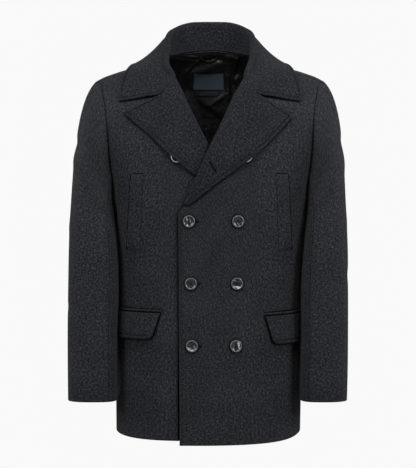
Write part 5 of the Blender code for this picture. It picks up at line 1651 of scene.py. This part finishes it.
def on_lapel(x, height, out):
    """Points this far off the left lapel's face, found from its worked-out grid."""
    outer, inner = LAPELS["left"]
    face, away = outer.reshape(-1, 3), unit(outer - inner).reshape(-1, 3)
    in_front = away[:, 1] < -0.3  # the turned edges and the back are left out
    face, away = face[in_front], away[in_front]
    at, ways = [], []
    for spot in np.stack([x, height], axis=-1):
        far = np.linalg.norm(face[:, [0, 2]] - spot, axis=1)
        near = np.argsort(far)[:4]
        weight = 1 / (far[near] + 1e-5)
        weight /= weight.sum()
        y, way = float(weight @ face[near, 1]), unit(weight @ away[near])
        at.append(np.array([spot[0], y, spot[1]]) + way * out)
        ways.append(way)
    return np.array(at), np.array(ways)


for place in BUTTONS:
    if place.front == "left" and place.x < 0:
        ends = [(place.x + past, place.height - HOLE_DROP) for past in (HOLE_FROM, HOLE_TO)]
        buttonhole(place.name.replace("button", "buttonhole"), *ends, on_left_front)
buttonhole("buttonhole_lapel", *LAPEL_HOLE, on_lapel)

# ---------------------------------------------------------------- studio
# A pale floor and surround, lit evenly and softly, and the camera in front of the coat.
PALE, GLEAM, AMBIENT = 0.947, 0.20, 0.14
FLOOR_HALF, FLOOR_Z = 4, -0.80
BOXES = table(
    "name place aim_z width height power",
    ("overhead", (0.0, -1.4, 1.7), -0.25, 1.1, 0.6, 19),
    ("left_front", (-1.6, -2.0, 0.6), -0.3, 0.8, 1.3, 22),
    ("right_front", (1.8, -1.8, 0.6), -0.3, 0.8, 1.3, 26),
    ("left_side", (-2.0, 0.5, 0.3), -0.35, 0.8, 1.4, 12),
    ("right_side", (2.0, 0.5, 0.3), -0.35, 0.8, 1.4, 14),
    ("back", (0.0, 2.2, 0.9), -0.35, 1.6, 1.0, 34),
)


def pale(finish):
    """A pale white wherever it is seen, that throws a softer light on the coat."""
    seen, mirrored_in_gloss = (finish.node("LightPath", out=ray) for ray in (0, 3))
    return seen * (PALE - AMBIENT) + mirrored_in_gloss * (GLEAM - AMBIENT) + AMBIENT


pale_floor = Finish(
    "pale_floor", Base_Color=(0, 0, 0, 1), Specular_IOR_Level=0.0, Emission_Strength=1.0
)
pale_floor.feed(pale_floor.shader.inputs["Emission Color"], pale(pale_floor))
mesh = bpy.data.meshes.new("floor")
corners = ((-1, -1), (1, -1), (1, 1), (-1, 1))
floor = [(FLOOR_HALF * x, FLOOR_HALF * y, FLOOR_Z) for x, y in corners]
mesh.from_pydata(floor, [], [(0, 1, 2, 3)])
mesh.materials.append(pale_floor.material)
added("floor", mesh)

world = bpy.data.worlds.new("surround")
surround = Finish(world, "Background")
surround.feed(surround.shader.inputs["Color"], pale(surround))
bpy.context.scene.world = world
bpy.context.scene.view_settings.view_transform = "Standard"

for box in BOXES:
    light = bpy.data.lights.new(box.name, "AREA")
    light.shape, light.energy = "RECTANGLE", box.power
    light.size, light.size_y = box.width, box.height
    lamp = added(box.name, light)
    lamp.location = box.place
    aim = Vector((0, 0, box.aim_z)) - Vector(box.place)
    lamp.rotation_euler = aim.to_track_quat("-Z", "Y").to_euler()

eye = bpy.data.cameras.new("camera")
eye.sensor_fit, eye.sensor_height, eye.sensor_width, eye.lens = "VERTICAL", 36, 36, 115.4
camera = added("camera", eye)
camera.location, camera.rotation_euler = (-0.0043, -3.0, -0.3585), (math.radians(90), 0, 0)
bpy.context.scene.camera = camera
